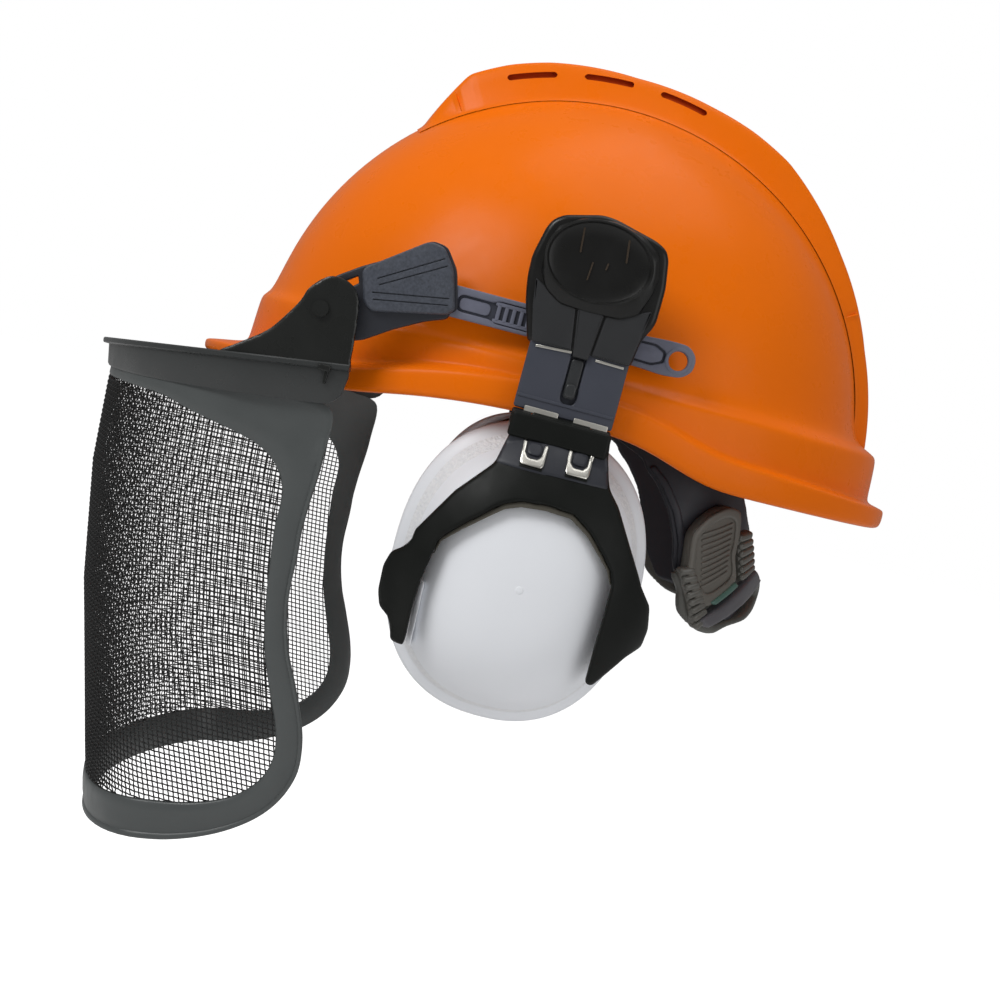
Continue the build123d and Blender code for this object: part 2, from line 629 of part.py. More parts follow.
def hub_oval(half_sizes, x_range):
    """An oval plate about the middle of the hub's cover."""
    low, high = x_range
    side = Plane(origin=(low, DIAL_CENTRE_Y, HUB_Z), x_dir=(0, 1, 0), z_dir=(1, 0, 0))
    return extrude(side * Ellipse(*half_sizes), amount=high - low)


def height_slider():
    """Plate that sets the muff's height, with the hinge knuckles at its lower end."""
    plate = block(SLIDER_X, (MUFF_Y - SLIDER_HALF_WIDTH, MUFF_Y + SLIDER_HALF_WIDTH), SLIDER_Z)
    half, window_z = SLIDER_WINDOW
    plate -= block((0, FAR), (MUFF_Y - half, MUFF_Y + half), window_z)
    near, far = KNUCKLE_HALF_SPAN
    for y_range in ((MUFF_Y - far, MUFF_Y - near), (MUFF_Y + near, MUFF_Y + far)):
        plate += long_pin(KNUCKLE_RADIUS, y_range, HINGE_X, HINGE_Z)
        plate += block(SLIDER_X, y_range, (HINGE_Z, SLIDER_Z[0] + 0.4))
    return plate - long_pin(PIN_RADIUS, (-FAR, FAR), HINGE_X, HINGE_Z)


def detent_tab():
    """Spring tab that clicks the slider into its height steps."""
    y_range = (MUFF_Y - DETENT_HALF_WIDTH, MUFF_Y + DETENT_HALF_WIDTH)
    return block(DETENT_X, y_range, DETENT_Z) + block(DETENT_TOE_X, y_range, DETENT_TOE_Z)


def spring_strips():
    """Two flat steel strips across the slider's lower edge."""
    strips = [block(SPRING_X, (MUFF_Y + low, MUFF_Y + high), SPRING_Z) for low, high in SPRING_Y]
    return Compound(children=strips)


def hinge_pin():
    """Steel pin through the slider's and the yoke's knuckles."""
    half = KNUCKLE_HALF_SPAN[1]
    return long_pin(PIN_RADIUS, (MUFF_Y - half, MUFF_Y + half), HINGE_X, HINGE_Z)


def cup_dome(offset):
    """The bulging face of the cup as half an ellipsoid, grown by offset."""
    whole = ellipsoid(
        CUP_DEPTH + offset,
        CUP_HALF_WIDTH + offset,
        CUP_HALF_HEIGHT + offset,
        (CUP_X, MUFF_Y, CUP_Z),
    )
    return whole & block((CUP_X - 4, 200), (-150, 150), (-200, 100))


def yoke():
    """Forked yoke: a curved plate that straddles the cup and holds it at both sides."""
    outer = [
        (-15, 3.4), (-15, -4), (-38, -40), (-47, -52), (-47, -66), (-33, -84), (-29, -84),
        (-29, -48), (-9, -22), (15, -22), (35, -44), (35, -84), (39, -84), (53, -66),
        (53, -50), (44, -36), (21, -4), (21, 3.4),
    ]
    layer = cup_dome(YOKE_GAP + YOKE_THICK) - cup_dome(YOKE_GAP)
    fork = layer & side_plate(outer, (CUP_X - 1, 160), 1)
    knuckle_y = (MUFF_Y - YOKE_KNUCKLE_HALF, MUFF_Y + YOKE_KNUCKLE_HALF)
    fork += long_pin(KNUCKLE_RADIUS, knuckle_y, HINGE_X, HINGE_Z)
    fork += block(YOKE_NECK_X, knuckle_y, (YOKE_NECK_LOW, HINGE_Z))
    for ends in cup_pin_ranges():
        fork -= long_pin(CUP_PIN_RADIUS, ends, CUP_PIVOT_X, CUP_PIVOT_Z)
    return fork - long_pin(PIN_RADIUS + 0.05, (-30, 40), HINGE_X, HINGE_Z)


def cup_pin_ranges():
    """The y ranges of the two pivot pins, inner end first."""
    half = CUP_HALF_WIDTH + YOKE_GAP + YOKE_THICK - 1.0
    return ((MUFF_Y - half, MUFF_Y - CUP_HALF_WIDTH + 4), (MUFF_Y + CUP_HALF_WIDTH - 4, MUFF_Y + half))


def cup_pins():
    """Two pins in the yoke's legs that the cup tilts on."""
    pins = [long_pin(CUP_PIN_RADIUS, ends, CUP_PIVOT_X, CUP_PIVOT_Z) for ends in cup_pin_ranges()]
    return Compound(children=pins)


def u_clips():
    """Two U-shaped steel clips on the upper face of the yoke."""
    clips = []
    width, length, bar, thick = CLIP_SIZE
    x, z = CLIP_PLACE
    for offset in CLIP_OFFSETS:
        loop = Rectangle(width, length) - Pos(0, bar - 0.5) * Rectangle(width - 2 * bar, length)
        slope = Plane(origin=(x, MUFF_Y + offset, z), x_dir=(0, 1, 0), z_dir=CLIP_FACING)
        clips.append(extrude(slope * loop, amount=thick))
    return Compound(children=clips)


def cup_shell():
    """White cup: a domed shell on a wider base flange, hollow for the foam."""
    flange = flange_column(0, (CUP_X - FLANGE_THICK, CUP_X))
    cup = flange + (cup_dome(-1.5) & block((CUP_X - 1, 200), (-150, 150), (-200, 100)))
    cup -= cup_dome(-1.5 - CUP_WALL)
    cup -= cup_oval(CUP_HALF_WIDTH - 4, CUP_HALF_HEIGHT - 4, (CUP_X - 10, CUP_X))
    for ends in cup_pin_ranges():
        cup -= long_pin(CUP_PIN_RADIUS + PIN_CLEARANCE, ends, CUP_PIVOT_X, CUP_PIVOT_Z)
    return cup


def flange_column(offset, x_range):
    """An oval plate with the base flange's outline, grown by offset."""
    low, high = x_range
    side = Plane(origin=(low, MUFF_Y, FLANGE_Z), x_dir=(0, 1, 0), z_dir=(1, 0, 0))
    oval = Ellipse(CUP_HALF_WIDTH + offset, FLANGE_HALF_HEIGHT + offset)
    return extrude(side * oval, amount=high - low)


def cup_oval(half_width, half_height, x_range):
    """An oval plate or opening about the middle of the cup."""
    low, high = x_range
    side = Plane(origin=(low, MUFF_Y, CUP_Z), x_dir=(0, 1, 0), z_dir=(1, 0, 0))
    return extrude(side * Ellipse(half_width, half_height), amount=high - low)


def cup_backplate():
    """Flat ring that closes the cup and carries the cushion."""
    plate = flange_column(-0.8, (CUP_X - FLANGE_THICK - 2.2, CUP_X - FLANGE_THICK))
    return plate - cup_oval(20, 29, (80, 100))


def cup_cushion():
    """Soft sealing ring round the ear."""
    ring = cup_oval(CUP_HALF_WIDTH - 4, CUP_HALF_HEIGHT - 4, CUSHION_X)
    return ring - cup_oval(*EAR_HOLE, (70, 100))


def cup_foam():
    """Foam lining inside the cup."""
    outer = cup_oval(*FOAM_OUTER, (CUP_X - FLANGE_THICK + GAP, CUP_X + 12))
    return outer - cup_oval(*FOAM_INNER, (0, CUP_X + 6))


# ---- writing ------------------------------------------------------------------------
def write(name, shape):
    """Writes one piece to its own file."""
    export_step(shape, f"parts/{name}.step")


def write_pair(name, shape):
    """Writes a piece of the left side and its twin on the right."""
    write(f"{name}_left", shape)
    write(f"{name}_right", other_side(shape))


def write_harness():
    """The shell and the harness inside it."""
    write("shell", shell())
    write("harness_keys", harness_keys())
    write("crown_strap_lower", crown_strap(1, CROWN_STRAP_RISE[0]))
    write("crown_strap_upper", crown_strap(-1, CROWN_STRAP_RISE[1]))
    write("crown_pad", crown_pad())
    write("headband", headband())
    write("sweatband", sweatband())
    write_pair("nape_strap", nape_strap())
    write("adjuster_housing", adjuster_housing() - push_key_window())
    write_pair("adjuster_grip", adjuster_grip())
    write("push_key", push_key())


def push_key_window():
    """The hole in the housing that the push key slides in."""
    x_range, z_range = NAPE_KEY_HOLE
    return block(x_range, (NAPE_CURVE_Y, FAR), z_range)


def write_visor():
    """The visor and the parts that carry it."""
    write_pair("visor_strap", visor_strap())
    write_pair("visor_wedge", visor_wedge())
    write_pair("pivot_screw", pivot_screw())
    write("brow_guard", brow_guard())
    write("visor_rim", visor_rim())
    write("visor_mesh", visor_mesh())


def write_muffs():
    """Both ear muffs."""
    pieces = {
        "muff_bracket": muff_bracket,
        "muff_hub": muff_hub,
        "muff_dial": muff_dial,
        "height_slider": height_slider,
        "detent_tab": detent_tab,
        "spring_strips": spring_strips,
        "hinge_pin": hinge_pin,
        "yoke": yoke,
        "u_clips": u_clips,
        "cup_pins": cup_pins,
        "cup_shell": cup_shell,
        "cup_backplate": cup_backplate,
        "cup_cushion": cup_cushion,
        "cup_foam": cup_foam,
    }
    for name, make in pieces.items():
        write_pair(name, make())


os.makedirs("parts", exist_ok=True)
write_harness()
write_visor()
write_muffs()
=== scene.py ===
import functools
import math

import bmesh
import bpy
import numpy as np
from mathutils import Matrix, Vector


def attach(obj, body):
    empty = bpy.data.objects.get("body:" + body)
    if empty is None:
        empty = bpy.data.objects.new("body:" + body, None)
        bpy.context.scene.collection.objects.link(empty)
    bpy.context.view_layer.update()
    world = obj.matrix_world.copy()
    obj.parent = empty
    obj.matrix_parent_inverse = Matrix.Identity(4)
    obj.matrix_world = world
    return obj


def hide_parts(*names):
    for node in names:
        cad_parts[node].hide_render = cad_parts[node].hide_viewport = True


# Safety helmet with a flip-up mesh visor and ear muffs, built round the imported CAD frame.
# Shapes are worked out in millimetres in the helmet's frame and become metres in add().
# +Z is up, the wearer looks along -Y, and +X is the wearer's left.

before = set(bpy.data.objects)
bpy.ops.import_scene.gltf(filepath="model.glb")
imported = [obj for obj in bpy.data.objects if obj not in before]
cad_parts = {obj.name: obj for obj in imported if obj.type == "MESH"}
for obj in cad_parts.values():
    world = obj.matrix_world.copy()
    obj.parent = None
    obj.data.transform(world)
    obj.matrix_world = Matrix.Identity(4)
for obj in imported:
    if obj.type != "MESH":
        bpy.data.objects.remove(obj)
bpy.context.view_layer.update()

MM = 0.001
SIDES = {"left": 1, "right": -1}
MUFF_Y = 3.0               # centre line of each ear muff
CUP_Z = -49.0
CUP_FACE_X = 100.0         # where the cup's flange ends and its dome starts
HUB_CENTRE = (1.3, 67.6)   # y, z of the oval cover


# ---- materials ----------------------------------------------------------------------
WAVE_SCALE = 314.0         # scale of a wave texture that repeats every millimetre
PORE_SIZE = 0.9            # of open-cell foam


def node_material(name):
    """An empty node material: its tree, shader and object coordinates."""
    material = bpy.data.materials.new(name)
    material.use_nodes = True
    tree = material.node_tree
    shader = tree.nodes["Principled BSDF"]
    coords = tree.nodes.new("ShaderNodeTexCoord").outputs["Object"]
    return material, tree, shader, coords


def fill_in(tree, node, **inputs):
    """Sets a node's inputs: an output is linked in, anything else is the input's value."""
    for name, value in inputs.items():
        place = node.inputs[name.replace("_", " ")]
        if isinstance(value, bpy.types.NodeSocket):
            tree.links.new(value, place)
        else:
            place.default_value = value


def new_node(tree, kind, **inputs):
    """A new shader node with its inputs set."""
    node = tree.nodes.new("ShaderNode" + kind)
    fill_in(tree, node, **inputs)
    return node


def noise(tree, coords, size_mm, detail=3.0):
    """A noise whose blotches are about size_mm across."""
    return new_node(tree, "TexNoise", Scale=1 / (size_mm * MM), Detail=detail, Vector=coords).outputs["Fac"]


def spread(tree, value, low, high):
    """A noise value, which seldom leaves 0.3 to 0.7, stretched so that it runs from low to high."""
    node = new_node(tree, "MapRange", From_Min=0.3, From_Max=0.7, To_Min=low, To_Max=high, Value=value)
    return node.outputs["Result"]


def two_tone(tree, factor, colour, dark, light):
    """A mix between a darker and a lighter tone of one colour."""
    node = tree.nodes.new("ShaderNodeMix")
    node.data_type = "RGBA"
    tones = [(*(min(1.0, c * tone) for c in colour), 1.0) for tone in (dark, light)]
    fill_in(tree, node, A=tones[0], B=tones[1], Factor=factor)
    return node.outputs["Result"]


def bump(tree, height, depth_mm, normal=None):
    """A bump of depth_mm from a height value, on top of another normal."""
    node = new_node(tree, "Bump", Strength=1.0, Distance=depth_mm * MM, Height=height)
    if normal:
        fill_in(tree, node, Normal=normal)
    return node.outputs["Normal"]


def plastic(name, colour, rough, tone=0.08, cloud=28.0, grain=0.3, depth=0.01, wave=0.0, specular=0.5):
    """Moulded plastic: tone clouds, a fine grain, uneven polish and a slow moulding wave."""
    material, tree, shader, coords = node_material(name)
    colours = two_tone(tree, noise(tree, coords, cloud), colour, 1 - tone, 1 + tone)
    polish = spread(tree, noise(tree, coords, 9.0, 4.0), rough * 0.82, rough * 1.2)
    normal = bump(tree, noise(tree, coords, grain, 2.0), depth)
    if wave:
        normal = bump(tree, noise(tree, coords, 22.0, 1.0), wave, normal)
    fill_in(tree, shader, Base_Color=colours, Roughness=polish, Normal=normal, Specular_IOR_Level=specular)
    return material


def steel(name):
    """Bright spring steel with fine rolling marks."""
    material, tree, shader, coords = node_material(name)
    stretch = new_node(tree, "Mapping", Scale=(1.0, 0.12, 1.0), Vector=coords)
    marks = noise(tree, stretch.outputs["Vector"], 2.0, 2.0)
    colours = two_tone(tree, marks, (0.74, 0.72, 0.66), 0.97, 1.03)
    polish, normal = spread(tree, marks, 0.28, 0.36), bump(tree, marks, 0.0004)
    fill_in(tree, shader, Base_Color=colours, Roughness=polish, Normal=normal, Metallic=1.0)
    return material


def woven(name, colour, pitch, depth, rough=0.85):
    """Cloth or webbing: two crossed waves as yarns, with uneven yarn colour and sheen."""
    material, tree, shader, coords = node_material(name)
    weave = tree.nodes.new("ShaderNodeMath")
    weave.operation = "MULTIPLY"
    for place, direction in enumerate(("X", "Y")):
        wave = new_node(tree, "TexWave", Scale=WAVE_SCALE / pitch, Distortion=0.6, Vector=coords)
        wave.bands_direction = direction
        tree.links.new(wave.outputs["Fac"], weave.inputs[place])
    fuzz = noise(tree, coords, 1.2, 4.0)
    colours = two_tone(tree, fuzz, colour, 0.75, 1.25)
    polish = spread(tree, fuzz, rough * 0.9, min(1.0, rough * 1.1))
    normal = bump(tree, fuzz, depth * 0.4, bump(tree, weave.outputs["Value"], depth))
    fill_in(tree, shader, Base_Color=colours, Roughness=polish, Normal=normal, Sheen_Weight=0.25)
    return material


def foam(name, colour):
    """Open-cell foam: pores from a cell texture over a soft noise."""
    material, tree, shader, coords = node_material(name)
    cells = new_node(tree, "TexVoronoi", Scale=1 / (PORE_SIZE * MM), Vector=coords)
    clouds = noise(tree, coords, 8.0)
    colours = two_tone(tree, clouds, colour, 0.8, 1.2)
    normal = bump(tree, cells.outputs["Distance"], 0.25)
    fill_in(tree, shader, Base_Color=colours, Roughness=spread(tree, clouds, 0.85, 1.0), Normal=normal)
    return material


ORANGE = plastic("shell_orange", (0.93, 0.175, 0.002), 0.30, tone=0.03, grain=0.8, depth=0.002, wave=0.03,
                 specular=0.12)
# Dark red painted shade for the floors and walls of the sunk vent slots in the orange rib.
VENT_PAINTED_SHADE = plastic("vent_painted_shade", (0.50, 0.050, 0.004), 0.6, depth=0.02, specular=0.1)
GLOSS_BLACK = plastic("gloss_black", (0.012, 0.013, 0.012), 0.28, grain=0.5, depth=0.003, specular=0.4)
GUARD_GREY = plastic("guard_grey", (0.034, 0.037, 0.037), 0.30, grain=0.5, depth=0.003, specular=0.5)
SATIN_BLACK = plastic("satin_black", (0.0075, 0.0085, 0.0075), 0.42, grain=0.35, depth=0.010, specular=0.16)
PLATE_BLACK = plastic("yoke_plate", (0.026, 0.028, 0.036), 0.42, grain=0.35, depth=0.012, specular=0.35)
# Light brown painted light for the yoke's lip: light bounced onto it from the white cup.
LIP_BOUNCE_LIGHT = plastic("yoke_edge", (0.085, 0.078, 0.062), 0.5, specular=0.3)
HUB_BLACK = plastic("hub_black", (0.0065, 0.0065, 0.006), 0.32, grain=0.35, depth=0.008, specular=0.35)
HUB_PLATE = plastic("hub_plate", (0.030, 0.031, 0.033), 0.42, grain=0.35, depth=0.012, specular=0.3)
SLIT_BROWN = plastic("slit_brown", (0.032, 0.018, 0.007), 0.5)
CARRIER = plastic("carrier_black", (0.064, 0.072, 0.092), 0.44, tone=0.60, cloud=0.9, grain=0.55, depth=0.06)
STRAP_BLUE = plastic("strap_grey", (0.155, 0.162, 0.215), 0.45, tone=0.12, cloud=3.0, grain=0.4, depth=0.02)
# Dark blue-grey painted shade for the strap's core, which shows in its slots and round its pocket, lobe and
# eye.
STRAP_SLOT_SHADE = plastic("strap_slot_painted_shade", (0.030, 0.033, 0.050), 0.5, tone=0.4, cloud=1.5, grain=0.5, depth=0.04)
SLIDER = plastic("slider_black", (0.055, 0.060, 0.080), 0.42, tone=0.06, grain=0.35, depth=0.012,
                 specular=0.4)
TAB_GREY = plastic("tab_grey", (0.030, 0.032, 0.034), 0.30)
RIM_GREY = plastic("rim_grey", (0.078, 0.086, 0.086), 0.38, tone=0.10, grain=0.4, depth=0.012)
WARM_GREY = plastic("adjuster_grey", (0.118, 0.108, 0.092), 0.42, tone=0.06, grain=0.4, depth=0.015)
RIB_GREY = plastic("adjuster_ribs", (0.105, 0.100, 0.088), 0.22, tone=0.06)
LOOP_GREY = plastic("adjuster_loop", (0.085, 0.084, 0.074), 0.42, tone=0.1, grain=0.4, depth=0.015)
BAR_GREY = plastic("adjuster_bar", (0.090, 0.086, 0.096), 0.42, tone=0.06, grain=0.4, depth=0.010)
TEAL_GREY = plastic("adjuster_teal", (0.060, 0.130, 0.105), 0.35)
STRAP_GREY = plastic("harness_grey", (0.034, 0.034, 0.042), 0.46, grain=0.4, depth=0.010, specular=0.3)
CUP_WHITE = plastic("cup_white", (0.92, 0.94, 0.98), 0.36, tone=0.012, grain=0.4, depth=0.004, specular=0.4)
CUP_GRAIN = plastic("cup_grain", (0.90, 0.92, 0.97), 0.40, tone=0.16, cloud=1.2, grain=1.1, depth=0.5)
MESH_BLACK = plastic("mesh_black", (0.020, 0.020, 0.020), 0.46, grain=0.3, depth=0.005, specular=0.35)
CUSHION = plastic("cushion_black", (0.020, 0.020, 0.022), 0.50, grain=0.8, depth=0.05)
STEEL = steel("spring_steel")
WEBBING = woven("webbing", (0.045, 0.047, 0.052), 1.3, 0.25)
SWEATBAND = woven("sweatband_cloth", (0.035, 0.035, 0.038), 0.8, 0.12)
FOAM = foam("pad_foam", (0.055, 0.055, 0.060))


# ---- shapes: (vertices in mm, faces, material index of each face) ---------------------
def shape(verts, faces, index=0):
    """A shape with one material index on every face."""
    return np.asarray(verts, float).reshape(-1, 3), [tuple(f) for f in faces], [index] * len(faces)


def merge(*shapes):
    """Several shapes as one."""
    verts, faces, indices, start = [], [], [], 0
    for points, polys, marks in shapes:
        verts.append(points)
        faces += [tuple(i + start for i in poly) for poly in polys]
        indices += marks
        start += len(points)
    return np.concatenate(verts), faces, indices


def mapped(form, change):
    """The same shape with change applied to its array of vertices."""
    return change(form[0].copy()), form[1], form[2]


def painted(form, index):
    """The same shape in another of its object's materials."""
    return form[0], form[1], [index] * len(form[1])


def mirrored(form):
    """The shape on the wearer's other side."""
    return form[0] * (-1, 1, 1), [tuple(reversed(poly)) for poly in form[1]], form[2]


def sheet_grid(points, wrap_rows=False, wrap_columns=False, index=0):
    """Quads over an array of points of shape (rows, columns, 3)."""
    points = np.asarray(points, float)
    rows, columns = points.shape[:2]
    faces = []
    for r in range(rows if wrap_rows else rows - 1):
        for c in range(columns if wrap_columns else columns - 1):
            r2, c2 = (r + 1) % rows, (c + 1) % columns
            faces.append((r * columns + c, r * columns + c2, r2 * columns + c2, r2 * columns + c))
    return shape(points, faces, index)


def closed_rings(rings, index=0):
    """A solid of closed rings, with a face over the first and the last."""
    points, faces, marks = sheet_grid(rings, wrap_columns=True, index=index)
    columns = len(rings[0])
    last = len(points) - columns
    faces.append(tuple(reversed(range(columns))))
    faces.append(tuple(range(last, last + columns)))
    return points, faces, marks + [index, index]


def soft_step(t):
    """0 to 1 with flat ends."""
    t = np.clip(t, 0, 1)
    return t * t * (3 - 2 * t)


def soft_step_back(value):
    """The t at which soft_step reaches value."""
    return 0.5 - math.sin(math.asin(1 - 2 * value) / 3)


def full_turn(steps):
    """Even angles once round."""
    return np.linspace(0, 2 * math.pi, steps, endpoint=False)


def super_oval(count, power):
    """Points round an oval of half size 1, squarer than an ellipse when power is above 2."""
    turns = 2 * math.pi * np.arange(count) / count
    c, s = np.cos(turns), np.sin(turns)
    return np.sign(c) * np.abs(c) ** (2 / power), np.sign(s) * np.abs(s) ** (2 / power)


def double_wall(outer, inner):
    """
    A wall with an outer skin of rings up to its crown and an inner skin of rings from its crown down.
    Each skin has a face over its crown. Returns the shape and the row of rings that each face is in.
    """
    rings = [*outer, *inner]
    columns, crown = len(rings[0]), len(outer)
    points, faces, _ = sheet_grid(rings, wrap_rows=True, wrap_columns=True)
    rows = [number // columns for number in range(len(faces))]
    kept = [(poly, row) for poly, row in zip(faces, rows) if row != crown - 1]
    kept.append((tuple(range((crown - 1) * columns, crown * columns)), crown))
    kept.append((tuple(reversed(range(crown * columns, (crown + 1) * columns))), crown))
    faces, rows = zip(*kept)
    return shape(points, faces), rows


def smooth_loop(points, steps=5):
    """A closed Catmull-Rom curve through points."""
    pts = np.asarray(points, float)
    before, after, far = np.roll(pts, 1, 0), np.roll(pts, -1, 0), np.roll(pts, -2, 0)
    out = []
    for t in np.arange(steps) / steps:
        out.append(
            0.5 * (2 * pts + (after - before) * t + (2 * before - 5 * pts + 4 * after - far) * t**2
                   + (3 * pts - before - 3 * after + far) * t**3)
        )
    return np.stack(out, 1).reshape(-1, 2)


def rounded(points, radius, steps=5):
    """An outline with its corners rounded, as far as its edges allow."""
    pts = [Vector(p) for p in points]
    out = []
    for i, corner in enumerate(pts):
        to_last, to_next = pts[i - 1] - corner, pts[(i + 1) % len(pts)] - corner
        reach = min(radius, to_last.length * 0.45, to_next.length * 0.45)
        start, end = corner + to_last.normalized() * reach, corner + to_next.normalized() * reach
        for k in range(steps):
            t = k / (steps - 1)
            out.append(start * (1 - t) ** 2 + corner * (2 * t * (1 - t)) + end * t**2)
    return [tuple(p) for p in out]


def bar_outline(start, end, half_width):
    """The four corners of a bar from start to end."""
    along = np.array(end, float) - start
    across = np.array((-along[1], along[0])) / np.linalg.norm(along) * half_width
    corners = ((start, -1), (end, -1), (end, 1), (start, 1))
    return [tuple(np.array(point) + side * across) for point, side in corners]


def shrunk(outline, scale):
    """An outline drawn in towards its middle."""
    middle = np.mean(outline, axis=0)
    return [tuple(middle + (np.array(point) - middle) * scale) for point in outline]


def disc(radius, centre=(0.0, 0.0), steps=48):
    """A round outline."""
    return [(centre[0] + radius * math.cos(t), centre[1] + radius * math.sin(t)) for t in full_turn(steps)]


def final_mesh(data, prepare=None):
    """The mesh that an object of data ends up with, after prepare has given it its modifiers."""
    holder = bpy.data.objects.new("form", data)
    bpy.context.scene.collection.objects.link(holder)
    if prepare:
        prepare(holder)
    graph = bpy.context.evaluated_depsgraph_get()
    mesh = bpy.data.meshes.new_from_object(holder.evaluated_get(graph))
    bpy.data.objects.remove(holder)
    return mesh


def reshaped(form, scale, prepare):
    """The shape after the modifiers that prepare adds, which see it scale times its size."""
    mesh = bpy.data.meshes.new("form")
    mesh.from_pydata((form[0] * scale).tolist(), [], form[1])
    skin = final_mesh(mesh, prepare)
    points = np.array([tuple(v.co) for v in skin.vertices]) / scale
    faces = [tuple(p.vertices) for p in skin.polygons]
    bpy.data.meshes.remove(mesh)
    bpy.data.meshes.remove(skin)
    return shape(points, faces)


def plate(outline, low, high, bevel=0.5, holes=(), index=0):
    """A flat plate: outline in its own (a, b), thickness from low to high, edges rounded by bevel."""
    curve = bpy.data.curves.new("plate", "CURVE")
    curve.dimensions = "2D"
    curve.fill_mode = "BOTH"
    for loop in [outline, *holes]:
        spline = curve.splines.new("POLY")
        spline.points.add(len(loop) - 1)
        for point, (a, b) in zip(spline.points, loop):
            point.co = (a, b, 0, 1)
        spline.use_cyclic_u = True
    curve.extrude = (high - low) / 2 - bevel
    curve.bevel_depth = bevel
    curve.bevel_resolution = 2
    curve.offset = -bevel
    mesh = final_mesh(curve)
    work = bmesh.new()
    work.from_mesh(mesh)
    bmesh.ops.remove_doubles(work, verts=work.verts, dist=1e-4)
    points = [(v.co.x, v.co.y, v.co.z + (low + high) / 2) for v in work.verts]
    faces = [[v.index for v in f.verts] for f in work.faces]
    work.free()
    bpy.data.curves.remove(curve)
    bpy.data.meshes.remove(mesh)
    return shape(points, faces, index)


def on_side(form):
    """Turns a plate so that its outline is (y, z) and its thickness runs along X."""
    return form[0][:, [2, 0, 1]], form[1], form[2]


def side_plate(outline, x_range, bevel=0.5, holes=(), index=0):
    """A plate seen from the side, from x_range[0] to x_range[1]."""
    return on_side(plate(outline, *x_range, bevel=bevel, holes=holes, index=index))


def box_outline(a_range, b_range, radius):
    """A rectangle with rounded corners."""
    (a0, a1), (b0, b1) = a_range, b_range
    return rounded([(a0, b0), (a1, b0), (a1, b1), (a0, b1)], radius)


def remeshed(form, voxel, passes=2):
    """The shape as an even skin of small quads, so that it can be bent or swelled."""
    def add_modifiers(holder):
        remesh = holder.modifiers.new("remesh", "REMESH")
        remesh.mode = "VOXEL"
        remesh.voxel_size = voxel
        holder.modifiers.new("smooth", "SMOOTH").iterations = passes
    return reshaped(form, 1.0, add_modifiers)


def tube(path, radius, sides=4):
    """An open-ended round bar along a path of points."""
    path = np.asarray(path, float)
    ahead = np.gradient(path, axis=0)
    ahead /= np.linalg.norm(ahead, axis=1)[:, None]
    guide = np.tile((0.0, 0.0, 1.0), (len(path), 1))
    guide[np.abs(ahead[:, 2]) > 0.8] = (1.0, 0.0, 0.0)
    across = np.cross(ahead, guide)
    across /= np.linalg.norm(across, axis=1)[:, None]
    over = np.cross(across, ahead)
    turns = 2 * math.pi * (np.arange(sides) + 0.5) / sides
    rings = np.stack([path + radius * (math.cos(t) * across + math.sin(t) * over) for t in turns], 1)
    return sheet_grid(rings, wrap_columns=True)


def turned(profile, centre, steps=64):
    """A shape turned about an axis along X through centre (y, z); profile is (radius, x)."""
    rings = [[(x, y, z) for y, z in disc(radius, centre, steps)] for radius, x in profile]
    return closed_rings(rings)


def add(name, form, materials, body, nodes, slot, sharp=32.0, subdivide=0):
    """Makes the shape a piece of the scene that rides on body and stands for nodes."""
    mesh = bpy.data.meshes.new(name)
    mesh.from_pydata((form[0] * MM).tolist(), [], form[1])
    for material in materials:
        mesh.materials.append(material)
    mesh.polygons.foreach_set("material_index", form[2])
    work = bmesh.new()
    work.from_mesh(mesh)
    bmesh.ops.recalc_face_normals(work, faces=work.faces)
    limit = math.radians(sharp)
    for face in work.faces:
        face.smooth = True
    for edge in work.edges:
        edge.smooth = edge.calc_face_angle(0.0) < limit
    work.to_mesh(mesh)
    work.free()
    piece = bpy.data.objects.new(name, mesh)
    bpy.context.scene.collection.objects.link(piece)
    if subdivide:
        skin = piece.modifiers.new("subdivide", "SUBSURF")
        skin.levels = skin.render_levels = subdivide
    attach(piece, body)
    if nodes:
        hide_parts(*nodes)
    return piece


def add_pair(name, form, materials, body, nodes, slot, **looks):
    """The piece on the left and its twin on the right. {side} in a name becomes left or right."""
    pieces = []
    for side, sign in SIDES.items():
        own = form if sign > 0 else mirrored(form)
        own_nodes = [node.format(side=side) for node in nodes]
        piece = add(f"{name}_{side}", own, materials, body.format(side=side), own_nodes, slot, **looks)
        pieces.append(piece)
    return pieces


# ---- U-shaped plans ---------------------------------------------------------------------
TANGENT = 0.25                 # a plan's direction is measured over this distance to each side


def u_plan(half_width, depth, curve_y, end_y, steps=160):
    """Half of a U-shaped plan, from the middle of its curve to the end of its straight side."""
    turn = np.linspace(0, math.pi / 2, steps)
    x = np.append(half_width * np.sin(turn), half_width)
    y = np.append(curve_y + depth * np.cos(turn), end_y)
    run = np.append(0, np.cumsum(np.hypot(np.diff(x), np.diff(y))))
    return x, y, run, math.copysign(1.0, depth)


def u_point(plan, run, offset):
    """(x, y) at distances run along the U (negative on the right), moved out by offset."""
    x, y, length, outward = plan
    at = np.abs(run)
    side = np.where(np.asarray(run) < 0, -1.0, 1.0)
    px, py = np.interp(at, length, x), np.interp(at, length, y)
    tx, ty = [np.interp(at + TANGENT, length, v) - np.interp(at - TANGENT, length, v) for v in (x, y)]
    size = np.hypot(tx, ty) + 1e-9
    px = px - outward * ty / size * offset
    py = py + outward * tx / size * offset
    return side * px, py


def u_run(plan, y_value):
    """The distance along the U at which it reaches y_value."""
    _, y, run, _ = plan
    order = np.argsort(y)
    return float(np.interp(y_value, y[order], run[order]))


# ---- shell ------------------------------------------------------------------------------
DOME = (103.0, 125.5)          # half width, and half length and height
DOME_CENTRE = (1.5, 16.0)      # y, z
WALL = 2.6
RING_COUNT = 72
ARCH_FRONT = -76.0             # y at which the arch over each ear has come down in front
ARCH_REAR = (24.0, 68.0)       # y between which it comes down behind the ear
CROWN_LOWEST = (33.2, 31.5)    # z of the lowest ring of the crown, outside and inside
CROWN_END = math.radians(88.5)


